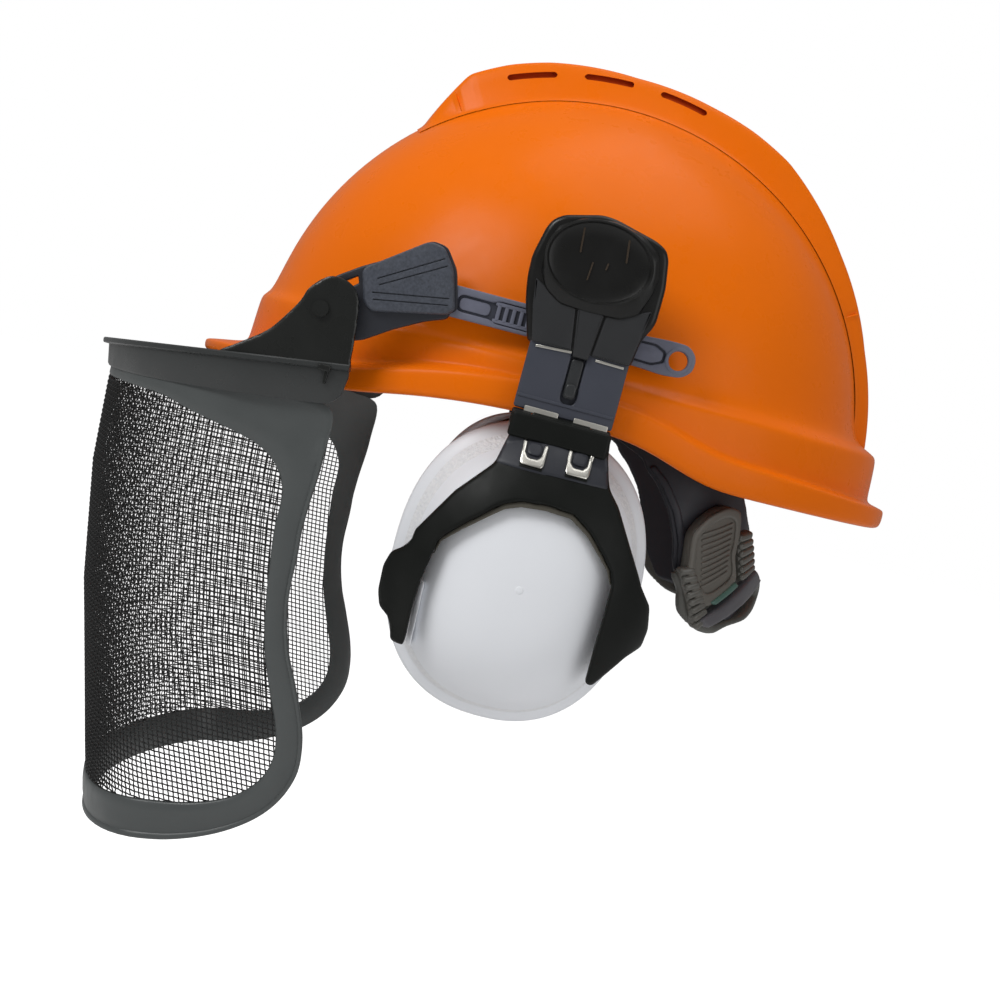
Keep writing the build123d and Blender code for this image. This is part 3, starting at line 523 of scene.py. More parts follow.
def shell_ring(half_x, half_y, centre_y, z_side, z_front, z_rear, lift=0.0):
    """One oval ring of the shell; it arches over the ears, and lift raises it beside the arch."""
    turns = 2 * math.pi * np.arange(RING_COUNT) / RING_COUNT
    y = centre_y + half_y * np.sin(turns)
    rear = soft_step((y - ARCH_REAR[0]) / (ARCH_REAR[1] - ARCH_REAR[0]))
    share = np.where(y < 0, np.minimum(1.0, (y / ARCH_FRONT) ** 2), rear)
    z_end = np.where(y < 0, z_front, z_rear) + lift * np.cos(turns) ** 2
    z = z_side * (1 - share) + z_end * share
    return np.stack([half_x * np.cos(turns), y, z], 1)


def dome_rings(inset, lowest, count=11):
    """Rings of the crown from a height upwards, inset by the wall or not."""
    half_x, half_y = DOME[0] - inset, DOME[1] - inset
    first = math.asin((lowest - DOME_CENTRE[1]) / half_y)
    rings = []
    for rise in np.linspace(first, CROWN_END, count):
        z = DOME_CENTRE[1] + half_y * math.sin(rise)
        size = math.cos(rise)
        rings.append(shell_ring(half_x * size, half_y * size, DOME_CENTRE[0], z, z, z))
    return rings


# half width, half length, centre y, z at the side, in front and at the rear, lift beside the arch
BRIM_OUTSIDE = [
    (106.6, 141.0, 0.5, 9.7, -0.4, -0.4),
    (109.9, 144.2, 0.5, 9.9, 0.2, 0.3),
    (111.0, 145.3, 0.5, 11.2, 1.4, 1.8),
    (111.1, 145.4, 0.5, 19.6, 3.9, 6.9, 4.6),
    (110.4, 144.5, 0.5, 21.3, 4.7, 7.9, 5.0),
    (108.6, 137.3, 3.4, 22.2, 6.4, 8.7, 5.0),
    (107.5, 133.1, 4.9, 23.0, 7.6, 9.4, 5.0),
    (107.3, 132.7, 5.0, 24.0, 10.0, 12.0, 4.4),
    (107.0, 132.1, 5.0, 26.2, 25.6, 26.2),
    (106.2, 131.2, 4.8, 28.3, 27.8, 28.4),
    (104.0, 127.6, 3.2, 30.0, 29.8, 30.4),
]
BRIM_INSIDE = [
    (101.4, 124.6, 3.2, 27.6, 27.6, 27.8),
    (103.8, 129.0, 4.8, 26.0, 25.6, 26.0),
    (104.4, 130.0, 5.0, 24.2, 12.0, 12.0, 4.0),
    (105.0, 132.6, 4.4, 19.0, 4.6, 5.4, 3.0),
    (106.0, 139.2, 1.4, 12.0, 1.6, 1.8),
]


def shell_body():
    """The crown, the upright band below it and the turned-out brim, with the wall's inside."""
    outside = [shell_ring(*row) for row in BRIM_OUTSIDE] + dome_rings(0, CROWN_LOWEST[0])
    inside = dome_rings(WALL, CROWN_LOWEST[1])[::-1] + [shell_ring(*row) for row in BRIM_INSIDE]
    return double_wall(outside, inside)[0]


# degrees from the top: distance from the dome's centre
RIDGE_TOP = {-29.0: 136.6, -22.0: 137.4, -15.0: 137.2, 0.0: 135.4, 14.0: 136.0, 22.0: 136.9, 30.0: 137.1,
             48.0: 133.0, 66.0: 130.8, 84.0: 131.4}
RIDGE_WIDTH = {-42.0: 23.0, -28.0: 25.5, 10.0: 26.0, 50.0: 22.5, 84.0: 20.0}
RIDGE_SPAN = (-41.2, 84.2)     # degrees from the top: from its front end to its rear end
RIDGE_FRONT = (-40.0, -29.0)   # degrees from the top: where the front ramp starts and ends
VENT_ANGLES = (-18.4, -4.7, 9.0)
VENT_HALF_ANGLE = 4.4
VENT_END_ANGLE = 0.6           # the ends of a vent are rounded over this angle
VENT_MARGIN = 1.2              # round a vent the rib isn't evened out
VENT_BAND = (129.4, 131.8)     # the vents' lower and upper edge, from the dome's centre
VENT_DEPTH = 2.2
VENT_COLUMN = 3                # the column of faces, from the rib's foot, that the vents take up
RIDGE_WALL = 3.4               # half the width of the rib's sloping flank
RIDGE_CAMBER = 1.2             # how much higher the rib's middle is than its shoulders
RIDGE_STEP = 0.2               # degrees between its rows
RIDGE_BLUR = 4                 # rows on each side over which the rib is evened out


def ridge_row(angle):
    """Points across the rib at one angle from the top, from the right foot to the left foot."""
    half = np.interp(angle, list(RIDGE_WIDTH), list(RIDGE_WIDTH.values()))
    crest = np.interp(angle, list(RIDGE_TOP), list(RIDGE_TOP.values()))
    ramp = float(np.clip((angle - RIDGE_FRONT[0]) / (RIDGE_FRONT[1] - RIDGE_FRONT[0]), 0, 1))
    beta = math.radians(angle)

    def base(x):
        return DOME[1] * math.sqrt(1 - (x / DOME[0]) ** 2) + DOME_CENTRE[0] * math.sin(beta)

    def flank_rise(x):
        return (crest - RIDGE_CAMBER - base(x)) * ramp

    foot = base(half)
    rise = max(flank_rise(half), 1e-3)
    marks = [min(0.85, max(0.12, (r - foot) / rise)) for r in vent_band(angle)]
    if marks[1] - marks[0] < 0.01:
        marks = [0.4, 0.6]
    flank = [0.0, 0.1, 0.2, soft_step_back(marks[0]), soft_step_back(marks[1]), 0.8, 0.88, 0.95, 1.0]
    points = []
    for t in flank:
        x = half + RIDGE_WALL * (1 - 2 * t)
        points.append((x, base(x) + flank_rise(x) * float(soft_step(t))))
    across = half - RIDGE_WALL
    for x in np.linspace(across, 0, 6)[1:]:
        dome_rise = crest - RIDGE_CAMBER * (x / across) ** 2 - base(x)
        points.append((x, base(x) + dome_rise * ramp))
    points[0] = (points[0][0], points[0][1] - 0.2)
    row = points + [(-x, r) for x, r in reversed(points[:-1])]
    return [(x, r * math.sin(beta), DOME_CENTRE[1] + r * math.cos(beta)) for x, r in row]


def vent_band(angle):
    """Lower and upper edge of the vents at one angle; they come together at a vent's rounded ends."""
    middle, half = sum(VENT_BAND) / 2, (VENT_BAND[1] - VENT_BAND[0]) / 2
    from_end = VENT_HALF_ANGLE - min(abs(angle - v) for v in VENT_ANGLES)
    if -0.3 < from_end < VENT_END_ANGLE:
        half *= max(0.25, math.sqrt(max(0.0, 1 - (1 - from_end / VENT_END_ANGLE) ** 2)))
    return middle - half, middle + half


def ridge():
    """The rib along the crown, with three vent slots sunk into each flank."""
    angles = np.arange(RIDGE_SPAN[0], RIDGE_SPAN[1], RIDGE_STEP)
    points = np.asarray([ridge_row(a) for a in angles])
    radius = np.hypot(points[..., 1], points[..., 2] - DOME_CENTRE[1])
    kernel = np.ones(2 * RIDGE_BLUR + 1) / (2 * RIDGE_BLUR + 1)
    padded_radius = np.pad(radius, ((RIDGE_BLUR, RIDGE_BLUR), (0, 0)), mode="edge")
    blurred = np.stack([np.convolve(column, kernel, "valid") for column in padded_radius.T], 1)
    near_vent = np.abs(angles[:, None] - VENT_ANGLES).min(1) < VENT_HALF_ANGLE + VENT_MARGIN
    for columns in (slice(2, 6), slice(-6, -2)):   # the flanks keep their vents sharp
        blurred[near_vent, columns] = radius[near_vent, columns]
    turn = np.radians(angles)[:, None]
    points[..., 1] = blurred * np.sin(turn)
    points[..., 2] = DOME_CENTRE[1] + blurred * np.cos(turn)
    verts, faces, _ = sheet_grid(points)
    return sink_vents(verts, faces, angles, points.shape[1])


def sink_vents(verts, faces, angles, columns):
    """Pushes the faces of the vent slots inwards and paints their floors and walls dark as painted shade."""
    work = bmesh.new()
    made = [work.verts.new(v) for v in verts]
    bands = {VENT_COLUMN: 1, columns - 2 - VENT_COLUMN: -1}
    vents = {1: [], -1: []}
    for number, poly in enumerate(faces):
        face = work.faces.new([made[i] for i in poly])
        row, column = divmod(number, columns - 1)
        middle = (angles[row] + angles[row + 1]) / 2
        if column in bands and any(abs(middle - v) < VENT_HALF_ANGLE for v in VENT_ANGLES):
            vents[bands[column]].append(face)
    for sign, group in vents.items():
        sunk = bmesh.ops.extrude_face_region(work, geom=group)["geom"]
        floor = [part for part in sunk if isinstance(part, bmesh.types.BMVert)]
        bmesh.ops.translate(work, vec=(-VENT_DEPTH * sign, 0, 0), verts=floor)
        for face in (g for g in sunk if isinstance(g, bmesh.types.BMFace)):
            # material 1 paints the vent's floor and walls with painted shade
            face.material_index = 1
            for edge in face.edges:
                for wall in edge.link_faces:
                    wall.material_index = 1
        bmesh.ops.delete(work, geom=group, context="FACES_ONLY")
    work.verts.index_update()
    points = [tuple(v.co) for v in work.verts]
    polys = [[v.index for v in f.verts] for f in work.faces]
    indices = [f.material_index for f in work.faces]
    work.free()
    return np.array(points), [tuple(p) for p in polys], indices


KEY_ANGLE = 50.0               # degrees of the left rear harness key from +X, at the band's centre
BAND = (107.0, 132.6, 5.0)     # half width, half length and centre y of the upright band


def band_point(degrees):
    """(x, y) on the inside of the upright band, from the band's centre."""
    turn = math.radians(degrees)
    return (BAND[0] - WALL) * math.cos(turn), (BAND[1] - WALL) * math.sin(turn)


def key_lugs():
    """Four lugs inside the band, each with an upright pocket for a harness key."""
    lugs = []
    outer = box_outline((-7.0, -0.6), (-12.0, 12.0), 1.5)
    pocket = box_outline((-5.0, -2.0), (-8.3, 8.3), 0.6)
    block = plate(outer, 10.0, 24.0, bevel=0.5, holes=[pocket])
    for degrees in (KEY_ANGLE, 180 - KEY_ANGLE, 180 + KEY_ANGLE, -KEY_ANGLE):
        x, y = band_point(degrees)
        place = Matrix.Translation((x, y + BAND[2], 0)) @ Matrix.Rotation(math.atan2(y, x), 4, "Z")
        lugs.append(mapped(block, lambda v, m=np.array(place): v @ m[:3, :3].T + m[:3, 3]))
    return merge(*lugs)


def make_shell():
    """The orange shell: its body, rib and lugs."""
    add("helmet_shell", shell_body(), [ORANGE], "helmet", ["shell"], "shell_orange", sharp=180, subdivide=2)
    add("shell_rib", ridge(), [ORANGE, VENT_PAINTED_SHADE], "helmet", ["shell"], "shell_orange", sharp=50)
    add("shell_lugs", key_lugs(), [ORANGE], "helmet", ["shell"], "shell_orange")


# ---- ear muffs --------------------------------------------------------------------------
HINGE_CENTRE = (117.0, 8.0)    # x, z of the pin that the cups swing on
PIN_CENTRE = (104.0, -57.0)    # x, z of the pins that the cup tilts on
PIN_REACH = (40.5, 47.6)       # the pins lie this far from the muff's middle
HUB_OUTLINE = [
    (-16.2, 34.6), (-17.4, 39.0), (-20.7, 49.9), (-21.9, 56.9), (-22.2, 64.5), (-19.8, 75.3),
    (-18.2, 78.4), (-14.9, 80.9), (-1.8, 84.3), (3.2, 84.1), (19.4, 80.2), (23.2, 78.1),
    (24.8, 75.1), (26.5, 65.0), (26.4, 51.8), (22.9, 45.0), (21.6, 34.7),
]
HUB_PLATES = [   # the two flat plates below the cover
    [(-14.6, 35.2), (-0.1, 35.2), (-2.5, 50.8), (-8.6, 51.4), (-14.5, 54.9), (-18.8, 57.0), (-17.6, 48.0)],
    [(7.1, 35.2), (21.0, 35.2), (22.6, 46.6), (23.8, 56.0), (19.6, 54.3), (13.7, 51.2), (8.6, 50.8)],
]
HUB_TONGUE = [(0.8, 33.5), (6.4, 33.5), (7.8, 50.4), (-1.8, 50.4)]
COVER_OUTLINE = [   # faceted foot of the raised cover
    (-17.8, 60.0), (-14.5, 53.9), (-8.6, 50.2), (0.8, 49.6), (13.7, 50.0), (19.6, 53.3), (22.6, 62.0),
    (23.0, 68.0), (21.4, 75.6), (14.0, 80.8), (3.0, 83.0), (-8.0, 81.4), (-15.6, 76.8), (-18.4, 69.0),
]
COVER_RINGS = [
    # share of the way from the foot to the oval recess, size of the oval, x
    (0.0, 1.0, 114.0), (0.0, 1.0, 118.2), (0.12, 1.0, 119.0), (0.75, 1.04, 120.2), (1.0, 1.03, 120.5),
    (1.0, 0.99, 120.3), (1.0, 0.95, 119.5), (1.0, 0.86, 118.9), (1.0, 0.6, 118.5), (1.0, 0.02, 118.4),
]
COVER_LINES = [   # two slits and two plain marks in the recess
    [(-7.1, 78.3), (-6.4, 78.3), (-5.7, 69.4), (-6.4, 69.4)],
    [(9.2, 78.0), (10.0, 78.0), (10.9, 69.8), (10.2, 69.8)],
    [(-1.1, 67.3), (-0.5, 67.3), (-1.0, 60.6), (-1.6, 60.6)],
    [(4.2, 68.2), (4.9, 68.2), (4.5, 65.6), (3.9, 65.6)],
]
RECESS = (18.8, 14.2)          # half width and height of the oval recess in the cover


def around(outline, count=96):
    """Where rays from the hub's centre meet an outline, at even turns."""
    loop = np.asarray(outline, float) - HUB_CENTRE
    turns = 2 * math.pi * np.arange(count) / count
    hits = []
    for turn in turns:
        ray = np.array((math.cos(turn), math.sin(turn)))
        best = 0.0
        for a, b in zip(loop, np.roll(loop, -1, 0)):
            edge = b - a
            area = ray[0] * edge[1] - ray[1] * edge[0]
            if abs(area) < 1e-9:
                continue
            reach = (a[0] * edge[1] - a[1] * edge[0]) / area
            along = (a[0] * ray[1] - a[1] * ray[0]) / area
            if reach > best and -1e-9 <= along <= 1 + 1e-9:
                best = reach
        hits.append(ray * best)
    return np.array(hits)


def hub():
    """Turning hub: a bevelled body with three flat plates below the cover."""
    base = side_plate(rounded(HUB_OUTLINE, 2.5), (110.4, 117.6), 1.9)
    plates = [side_plate(rounded(outline, 0.5), (114.5, 118.3), 0.6, index=1) for outline in HUB_PLATES]
    return merge(base, *plates, side_plate(rounded(HUB_TONGUE, 0.6), (115.0, 118.9), 0.7, index=1))


def dial():
    """Raised cover: a faceted foot that rises to an oval recess with two slits and two marks."""
    foot = around(rounded(COVER_OUTLINE, 1.2, 3))
    turns = 2 * math.pi * np.arange(len(foot)) / len(foot)
    oval = np.stack([RECESS[0] * np.cos(turns), RECESS[1] * np.sin(turns)], 1)
    rings = []
    for share, size, x in COVER_RINGS:
        ring = foot * (1 - share) + oval * size * share + HUB_CENTRE
        rings.append(np.column_stack([np.full(len(ring), x), ring]))
    lines = [side_plate(rounded(outline, 0.4), (118.3, 119.0), 0.15, index=1) for outline in COVER_LINES]
    return merge(closed_rings(rings), *lines)


def slider():
    """Height plate with its slot, a plate behind it, a strip across its lower part and two rounded knuckles
    at the hinge.
    """
    slot = box_outline((MUFF_Y - 2.6, MUFF_Y + 3.0), (16.5, 47.0), 2.7)
    outline = box_outline((MUFF_Y - 18.0, MUFF_Y + 18.0), (11.4, 56.0), 1.2)
    board = side_plate(outline, (113.2, 117.2), 0.6, holes=[slot])
    back = side_plate(box_outline((MUFF_Y - 6, MUFF_Y + 6), (14, 50), 1.5), (113.0, 114.4), 0.4)
    edge = side_plate(box_outline((MUFF_Y - 17.6, MUFF_Y + 17.6), (15.4, 16.6), 0.5), (116.8, 117.6), 0.3)
    knuckles = [
        turned_y(3.2, (MUFF_Y + low, MUFF_Y + high), HINGE_CENTRE) for low, high in ((-18, -11), (11, 18))
    ]
    return merge(board, back, edge, painted(merge(*knuckles), 1))


def turned_y(radius, y_range, centre, chamfer=0.5, steps=32):
    """A round bar along Y with chamfered ends; centre is (x, z)."""
    low, high = y_range
    profile = [(0.01, low), (radius - chamfer, low), (radius, low + chamfer),
               (radius, high - chamfer), (radius - chamfer, high), (0.01, high)]
    points, faces, marks = turned(profile, centre, steps)
    return points[:, [1, 0, 2]], faces, marks


def strips():
    """Two spring-steel strips across the slider's lower edge."""
    forms = [
        side_plate(box_outline(span, (10.6, 12.8), 0.5), (117.0, 118.4), 0.25)
        for span in ((-11.0, 1.4), (7.0, 19.5))
    ]
    return merge(*forms)


def hub_edges():
    """Steel edges that show under the hub's lower plates."""
    spans = (((-12.8, 33.6), (0.2, 34.4)), ((9.0, 33.8), (19.4, 33.6)))
    return merge(*[
        side_plate([(y0, z0), (y1, z1), (y1, z1 + 0.9), (y0, z0 + 0.9)], (116.6, 117.8), 0.2)
        for (y0, z0), (y1, z1) in spans
    ])


def tab():
    """Spring tab in the slider's slot."""
    body = side_plate(box_outline((1.0, 5.4), (18.6, 33.0), 1.6), (114.6, 117.0), 0.4)
    nub = side_plate(box_outline((1.2, 5.2), (19.0, 24.0), 1.8), (116.6, 118.4), 0.6)
    return merge(body, nub)


YOKE_INNER = [   # edge of the yoke's opening, from the left leg's tip over the top to the right leg's tip
    (-30.8, -81.1), (-30.6, -77.0), (-31.0, -67.2), (-30.4, -55.5), (-28.9, -46.0), (-28.0, -40.1),
    (-21.7, -33.4), (-12.9, -25.4), (-9.1, -22.1), (-3.5, -19.8), (5.6, -18.9), (15.1, -19.6), (22.7, -24.6),
    (32.8, -35.4), (34.6, -40.5), (34.8, -51.4), (34.5, -61.9), (34.9, -76.9),
]
YOKE_OUTER = [   # outside of the yoke, from the right leg's tip over the collar to the left leg's tip
    (37.6, -77.8), (42.3, -71.5), (47.2, -65.0), (52.4, -60.7), (53.0, -54.0), (51.0, -45.5), (45.9, -39.2),
    (43.4, -34.9), (36.1, -23.2), (30.4, -13.7), (25.9, -8.6), (25.0, -6.6), (22.4, 2.1), (21.6, 8.0),
    (-13.6, 8.0), (-13.6, 2.0), (-16.1, -9.5), (-27.1, -22.6), (-37.2, -39.8), (-37.4, -43.5),
    (-39.8, -47.0), (-43.6, -50.0), (-45.2, -55.6), (-44.8, -65.4), (-43.0, -70.6), (-38.8, -72.8),
    (-37.1, -76.4), (-35.9, -81.2),
]


YOKE_OVAL = (52.5, 61.0)       # half width and height of the oval that the legs are bent over
YOKE_BULGE = 36.2              # and how far it stands out from the cup's face
YOKE_TOP_X = (108.0, 11.6)     # the least x of the yoke's face, and how much more it is at the collar
YOKE_UPPER = [   # the lighter plate below the collar
    (-13.6, 3.0), (-13.6, 1.6), (-16.0, -9.2), (-6.4, -9.4), (5.2, -9.0), (25.0, -8.6), (22.8, 0.0),
    (21.6, 3.0),
]


def yoke_face(y, z):
    """How far out the yoke's outer face lies over the cup."""
    across = ((y - MUFF_Y) / YOKE_OVAL[0]) ** 2 + ((z - CUP_Z) / YOKE_OVAL[1]) ** 2
    bulge = CUP_FACE_X + YOKE_BULGE * np.sqrt(np.clip(1 - across, 0.04, 1))
    top = YOKE_TOP_X[0] + YOKE_TOP_X[1] * soft_step((z + 16.0) / 15.0)
    return np.maximum(bulge, top)


def over_cup(form):
    """Lays a flat side plate on the yoke's curved face."""
    def change(v):
        v[:, 0] += yoke_face(v[:, 1], v[:, 2])
        return v
    return mapped(form, change)


def yoke():
    """Forked yoke: curved legs either side of the cup, a lighter upper plate, a lip painted light brown as
    painted light bounced from the white cup, and a collar.
    """
    fork = remeshed(side_plate(rounded(YOKE_INNER + YOKE_OUTER, 1.2), (-4.8, 0.0), 0.7), 0.8, 2)
    upper = painted(remeshed(side_plate(rounded(YOKE_UPPER, 1.0), (-1.6, 0.5), 0.5), 0.7, 2), 1)
    arc = YOKE_INNER[4:-3]
    taper = [0.055 * math.sin(math.pi * (k + 0.4) / (len(arc) - 0.2)) ** 0.6 for k in range(len(arc))]
    inward = [(y + (MUFF_Y - y) * t, z + (CUP_Z - 8.0 - z) * t) for (y, z), t in zip(arc, taper)]
    # The lip takes material 2, painted bounce light from the cup.
    lip = painted(remeshed(side_plate(arc + inward[::-1], (-4.0, -1.6), 0.3), 0.6, 1), 2)
    collar = side_plate(box_outline((-14.6, 21.6), (1.0, 10.3), 1.6), (114.6, 121.2), 1.3)
    knuckle = turned_y(3.4, (MUFF_Y - 10.7, MUFF_Y + 10.7), HINGE_CENTRE)
    return merge(over_cup(fork), over_cup(upper), over_cup(lip), collar, knuckle)


CLIP_PLACES = ((-3.6, 1.0), (12.8, 1.5))   # y of each clip's middle and z of its top
CLIP_HOOK = [   # outlines from the middle of the clip's top
    (-4.5, 0.0), (-4.3, -7.1), (-3.6, -8.3), (3.6, -8.3), (4.3, -7.1), (4.5, 0.0), (3.3, 0.0), (3.0, -4.1),
    (1.7, -5.6), (-1.7, -5.6), (-3.0, -4.1), (-3.3, 0.0),
]
CLIP_PAD = [(-2.7, 0.0), (-2.5, -4.5), (2.5, -4.5), (2.7, 0.0)]
CLIP_FOOT = [(-4.2, -7.9), (-4.2, -9.3), (4.2, -9.3), (4.2, -7.9)]


def clips():
    """Two U-shaped steel clips, open at the top, on the yoke's upper plate."""
    forms = []
    for middle, top in CLIP_PLACES:
        hook, pad, foot = [
            [(middle + y, top + z) for y, z in outline] for outline in (CLIP_HOOK, CLIP_PAD, CLIP_FOOT)
        ]
        forms.append(remeshed(side_plate(hook, (0.3, 1.7), 0.3), 0.35, 1))
        forms.append(painted(remeshed(side_plate(rounded(pad, 1.6), (0.3, 1.5), 0.4), 0.4, 2), 1))
        forms.append(painted(remeshed(side_plate(foot, (0.2, 0.9), 0.2), 0.4, 1), 2))
    return over_cup(merge(*forms))


def pins():
    """Two pivot pins that hold the cup in the yoke's legs."""
    near, far = PIN_REACH
    spans = ((MUFF_Y - far, MUFF_Y - near), (MUFF_Y + near, MUFF_Y + far))
    return merge(*[turned_y(2.4, span, PIN_CENTRE, 0.4) for span in spans])


CUP_OVAL = (3.0, -49.0, 44.5, 53.0)      # centre y and z, half width and height of the dome
FLANGE_OVAL = (1.9, -47.4, 46.1, 55.4)   # the same of the base flange
CUP_BULGE = 30.4                         # how far the dome stands out from the cup's face


def cup_ring(size, x, dome_share=1.0, count=96, power=2.3):
    """One oval ring of the cup: size times an outline between the flange's and the dome's."""
    centre_y, centre_z, half_y, half_z = [
        flange + (dome - flange) * dome_share for flange, dome in zip(FLANGE_OVAL, CUP_OVAL)
    ]
    c, s = super_oval(count, power)
    return np.stack([np.full(count, x), centre_y + half_y * size * c, centre_z + half_z * size * s], 1)


def dome_x(y, z):
    """How far out the cup's dome lies at a point."""
    across = ((y - CUP_OVAL[0]) / CUP_OVAL[2]) ** 2 + ((z - CUP_OVAL[1]) / CUP_OVAL[3]) ** 2
    return CUP_FACE_X + CUP_BULGE * np.sqrt(np.clip(1 - across, 0.0, 1))


# size, x and share of the dome's outline in each ring
CUP_OUTSIDE = [
    (0.900, 92.0, 0.0), (0.985, 92.0, 0.0), (1.000, 92.8, 0.0), (1.000, 97.2, 0.0), (0.994, 98.6, 0.0),
    (0.972, 99.8, 0.0), (0.936, 100.8, 0.0), (0.924, 101.2, 0.0), (0.912, 104.6, 0.85), (0.900, 105.8, 1.0),
    (0.886, 107.0, 1.0), (0.840, 111.8, 1.0), (0.77, 116.8, 1.0), (0.69, 121.0, 1.0), (0.59, 124.8, 1.0),
    (0.47, 127.6, 1.0), (0.34, 129.2, 1.0), (0.20, 130.1, 1.0), (0.07, 130.4, 1.0),
]
CUP_INSIDE = [(0.07, 127.9), (0.34, 126.7), (0.59, 122.2), (0.77, 114.0), (0.86, 105.0), (0.90, 98.0)]
CUP_GRAINED_ROWS = (7, 8)      # the facet band between the flange and the dome
CUP_GATE = [(0.01, 130.6), (1.2, 130.6), (1.7, 130.3), (1.8, 129.0), (0.01, 129.0)]   # radius, x
CUP_STRIP_OUTLINE = [(-31.2, -57.0), (-29.0, -57.0), (-28.4, -82.0), (-30.4, -82.0)]


def cup():
    """White cup: base flange, a grained facet band and a smooth dome, hollow inside."""
    skins = [[cup_ring(*row) for row in table] for table in (CUP_OUTSIDE, CUP_INSIDE)]
    (points, faces, _), rows = double_wall(*skins)
    grained = [int(row in CUP_GRAINED_ROWS) for row in rows]
    gate = turned(CUP_GATE, (3.7, -50.1), 24)
    return merge((points, faces, grained), gate, cup_strip())


def cup_strip():
    """A raised strip on the dome beside the front leg of the yoke."""
    def on_dome(v):
        v[:, 0] += dome_x(v[:, 1], v[:, 2])
        return v
    return mapped(remeshed(side_plate(CUP_STRIP_OUTLINE, (-3.0, 1.0), 0.3), 0.6, 1), on_dome)


def ring_solid(outer, inner, x_range, crown=0.0, count=64, power=2.25):
    """A soft oval ring; outer and inner are half sizes (y, z), crown rounds its face."""
    c, s = super_oval(count, power)
    low, high = x_range
    section = ((0.0, high), (0.5, high + crown), (1.0, high), (1.0, low), (0.5, low - crown), (0.0, low))
    rings = []
    for part, x in section:
        half_y = outer[0] + (inner[0] - outer[0]) * part
        half_z = outer[1] + (inner[1] - outer[1]) * part
        rings.append(np.stack([np.full(count, x), MUFF_Y + half_y * c, CUP_Z + half_z * s], 1))
    return sheet_grid(rings, wrap_rows=True, wrap_columns=True)


CLOTH_FRAMES = 20              # how long a soft shape swells


def swell(form, voxel, pressure, cap):
    """Puffs a soft shape up with a short cloth simulation. No point moves further than cap (mm)."""
    skin = remeshed(form, voxel, 2)

    def simulate(holder):
        cloth = holder.modifiers.new("cloth", "CLOTH").settings
        cloth.use_pressure = True
        cloth.uniform_pressure_force = pressure
        cloth.effector_weights.gravity = 0.0
        cloth.mass = 0.3
        for number in range(1, CLOTH_FRAMES + 1):
            bpy.context.scene.frame_set(number)

    step = reshaped(skin, MM, simulate)[0] - skin[0]
    bpy.context.scene.frame_set(1)
    length = np.linalg.norm(step, axis=1)[:, None]
    step *= np.minimum(1.0, cap / np.maximum(length, 1e-6))
    return skin[0] + step, skin[1], skin[2]


def cushion():
    """Sealing cushion: a swollen ring. Its welded seam round its middle is a piece of its own, made by
    seam().
    """
    return swell(ring_solid((38.2, 46.8), (22.5, 31.5), (79.0, 88.6), 1.2), 3.0, 4.0, 2.6)


def seam(half_y, half_z, x, radius, count=96):
    """A welded seam round the cushion."""
    turns = 2 * math.pi * np.arange(count) / count
    path = np.stack([np.full(count, x), MUFF_Y + half_y * np.cos(turns), CUP_Z + half_z * np.sin(turns)], 1)
    rings = []
    outward = np.stack([np.zeros(count), np.cos(turns), np.sin(turns)], 1)
    for t in 2 * math.pi * np.arange(6) / 6:
        rings.append(path + radius * (math.cos(t) * outward + math.sin(t) * np.array([1.0, 0, 0])))
    return sheet_grid(rings, wrap_rows=True, wrap_columns=True)


def make_muffs():
    """Every piece of both ear muffs."""
    hub_of = "muff_hub_{side}"
    add_pair("hub_body", hub(), [HUB_BLACK, HUB_PLATE], hub_of, ["muff_hub_{side}"], "hub_black")
    add_pair("hub_cover", dial(), [HUB_BLACK, SLIT_BROWN], hub_of, ["muff_dial_{side}"], "hub_black",
             sharp=24)
    add_pair("hub_steel_edges", hub_edges(), [STEEL], hub_of, [], "spring_steel")
    slide = "muff_slider_{side}"
    add_pair("height_plate", slider(), [SLIDER, HUB_BLACK], slide, ["height_slider_{side}"], "hub_black")
    add_pair("click_tab", tab(), [TAB_GREY], slide, ["detent_tab_{side}"], "hub_black")
    add_pair("steel_strips", strips(), [STEEL], slide, ["spring_strips_{side}"], "spring_steel")
    arm = "muff_yoke_{side}"
    add_pair("cup_yoke", yoke(), [SATIN_BLACK, PLATE_BLACK, LIP_BOUNCE_LIGHT], arm, ["yoke_{side}"], "yoke_black")
    add_pair("steel_clips", clips(), [STEEL, PLATE_BLACK, SATIN_BLACK], arm, ["u_clips_{side}"],
             "spring_steel")
    add_pair("yoke_pins", pins(), [SATIN_BLACK], arm, ["cup_pins_{side}"], "yoke_black")
    own = "muff_cup_{side}"
    add_pair("ear_cup", cup(), [CUP_WHITE, CUP_GRAIN], own, ["cup_shell_{side}"], "cup_white", sharp=180,
             subdivide=1)
    for piece in add_pair("ear_cushion", cushion(), [CUSHION], own, ["cup_cushion_{side}"], "cushion_black",
                          sharp=180, subdivide=1):
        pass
    add_pair("cushion_seam", seam(39.6, 48.2, 88.4, 0.7), [CUSHION], own, [], "cushion_black", sharp=180)
    liner = remeshed(ring_solid((31.0, 39.0), (26.5, 34.5), (93.5, 110.0), 0.5), 2.0, 3)
    for piece in add_pair("ear_liner", liner, [FOAM], own, ["cup_foam_{side}"], "pad_foam", sharp=180):
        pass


# ---- visor ------------------------------------------------------------------------------
VISOR_TILT = math.radians(8.4)
VISOR_REAR = (-75.0, 10.0)     # y, z of the brow guard's rear edge
GUARD_PLAN = u_plan(112.4, -73.2, -110.0, VISOR_REAR[0])
VISOR_SECTIONS = [   # z, half width, centre y of the curve, depth of the curve
    (10.0, 107.6, -112.0, 64.6), (-21.0, 107.2, -112.0, 64.9), (-53.0, 106.2, -112.0, 63.0),
    (-99.0, 103.0, -111.5, 55.3), (-139.0, 98.0, -110.0, 46.0), (-163.0, 94.0, -109.0, 40.7),
    (-190.0, 90.0, -108.0, 34.0),
]
VISOR_END_Y = -40.0            # the plans go on rearwards to here, past the rim
MESH_PITCH = 1.95
MESH_REACH = 190.0             # wires are tried this far round from the front
MESH_HEIGHTS = (-12.0, -176.0)
WIRE_RADIUS = 0.32


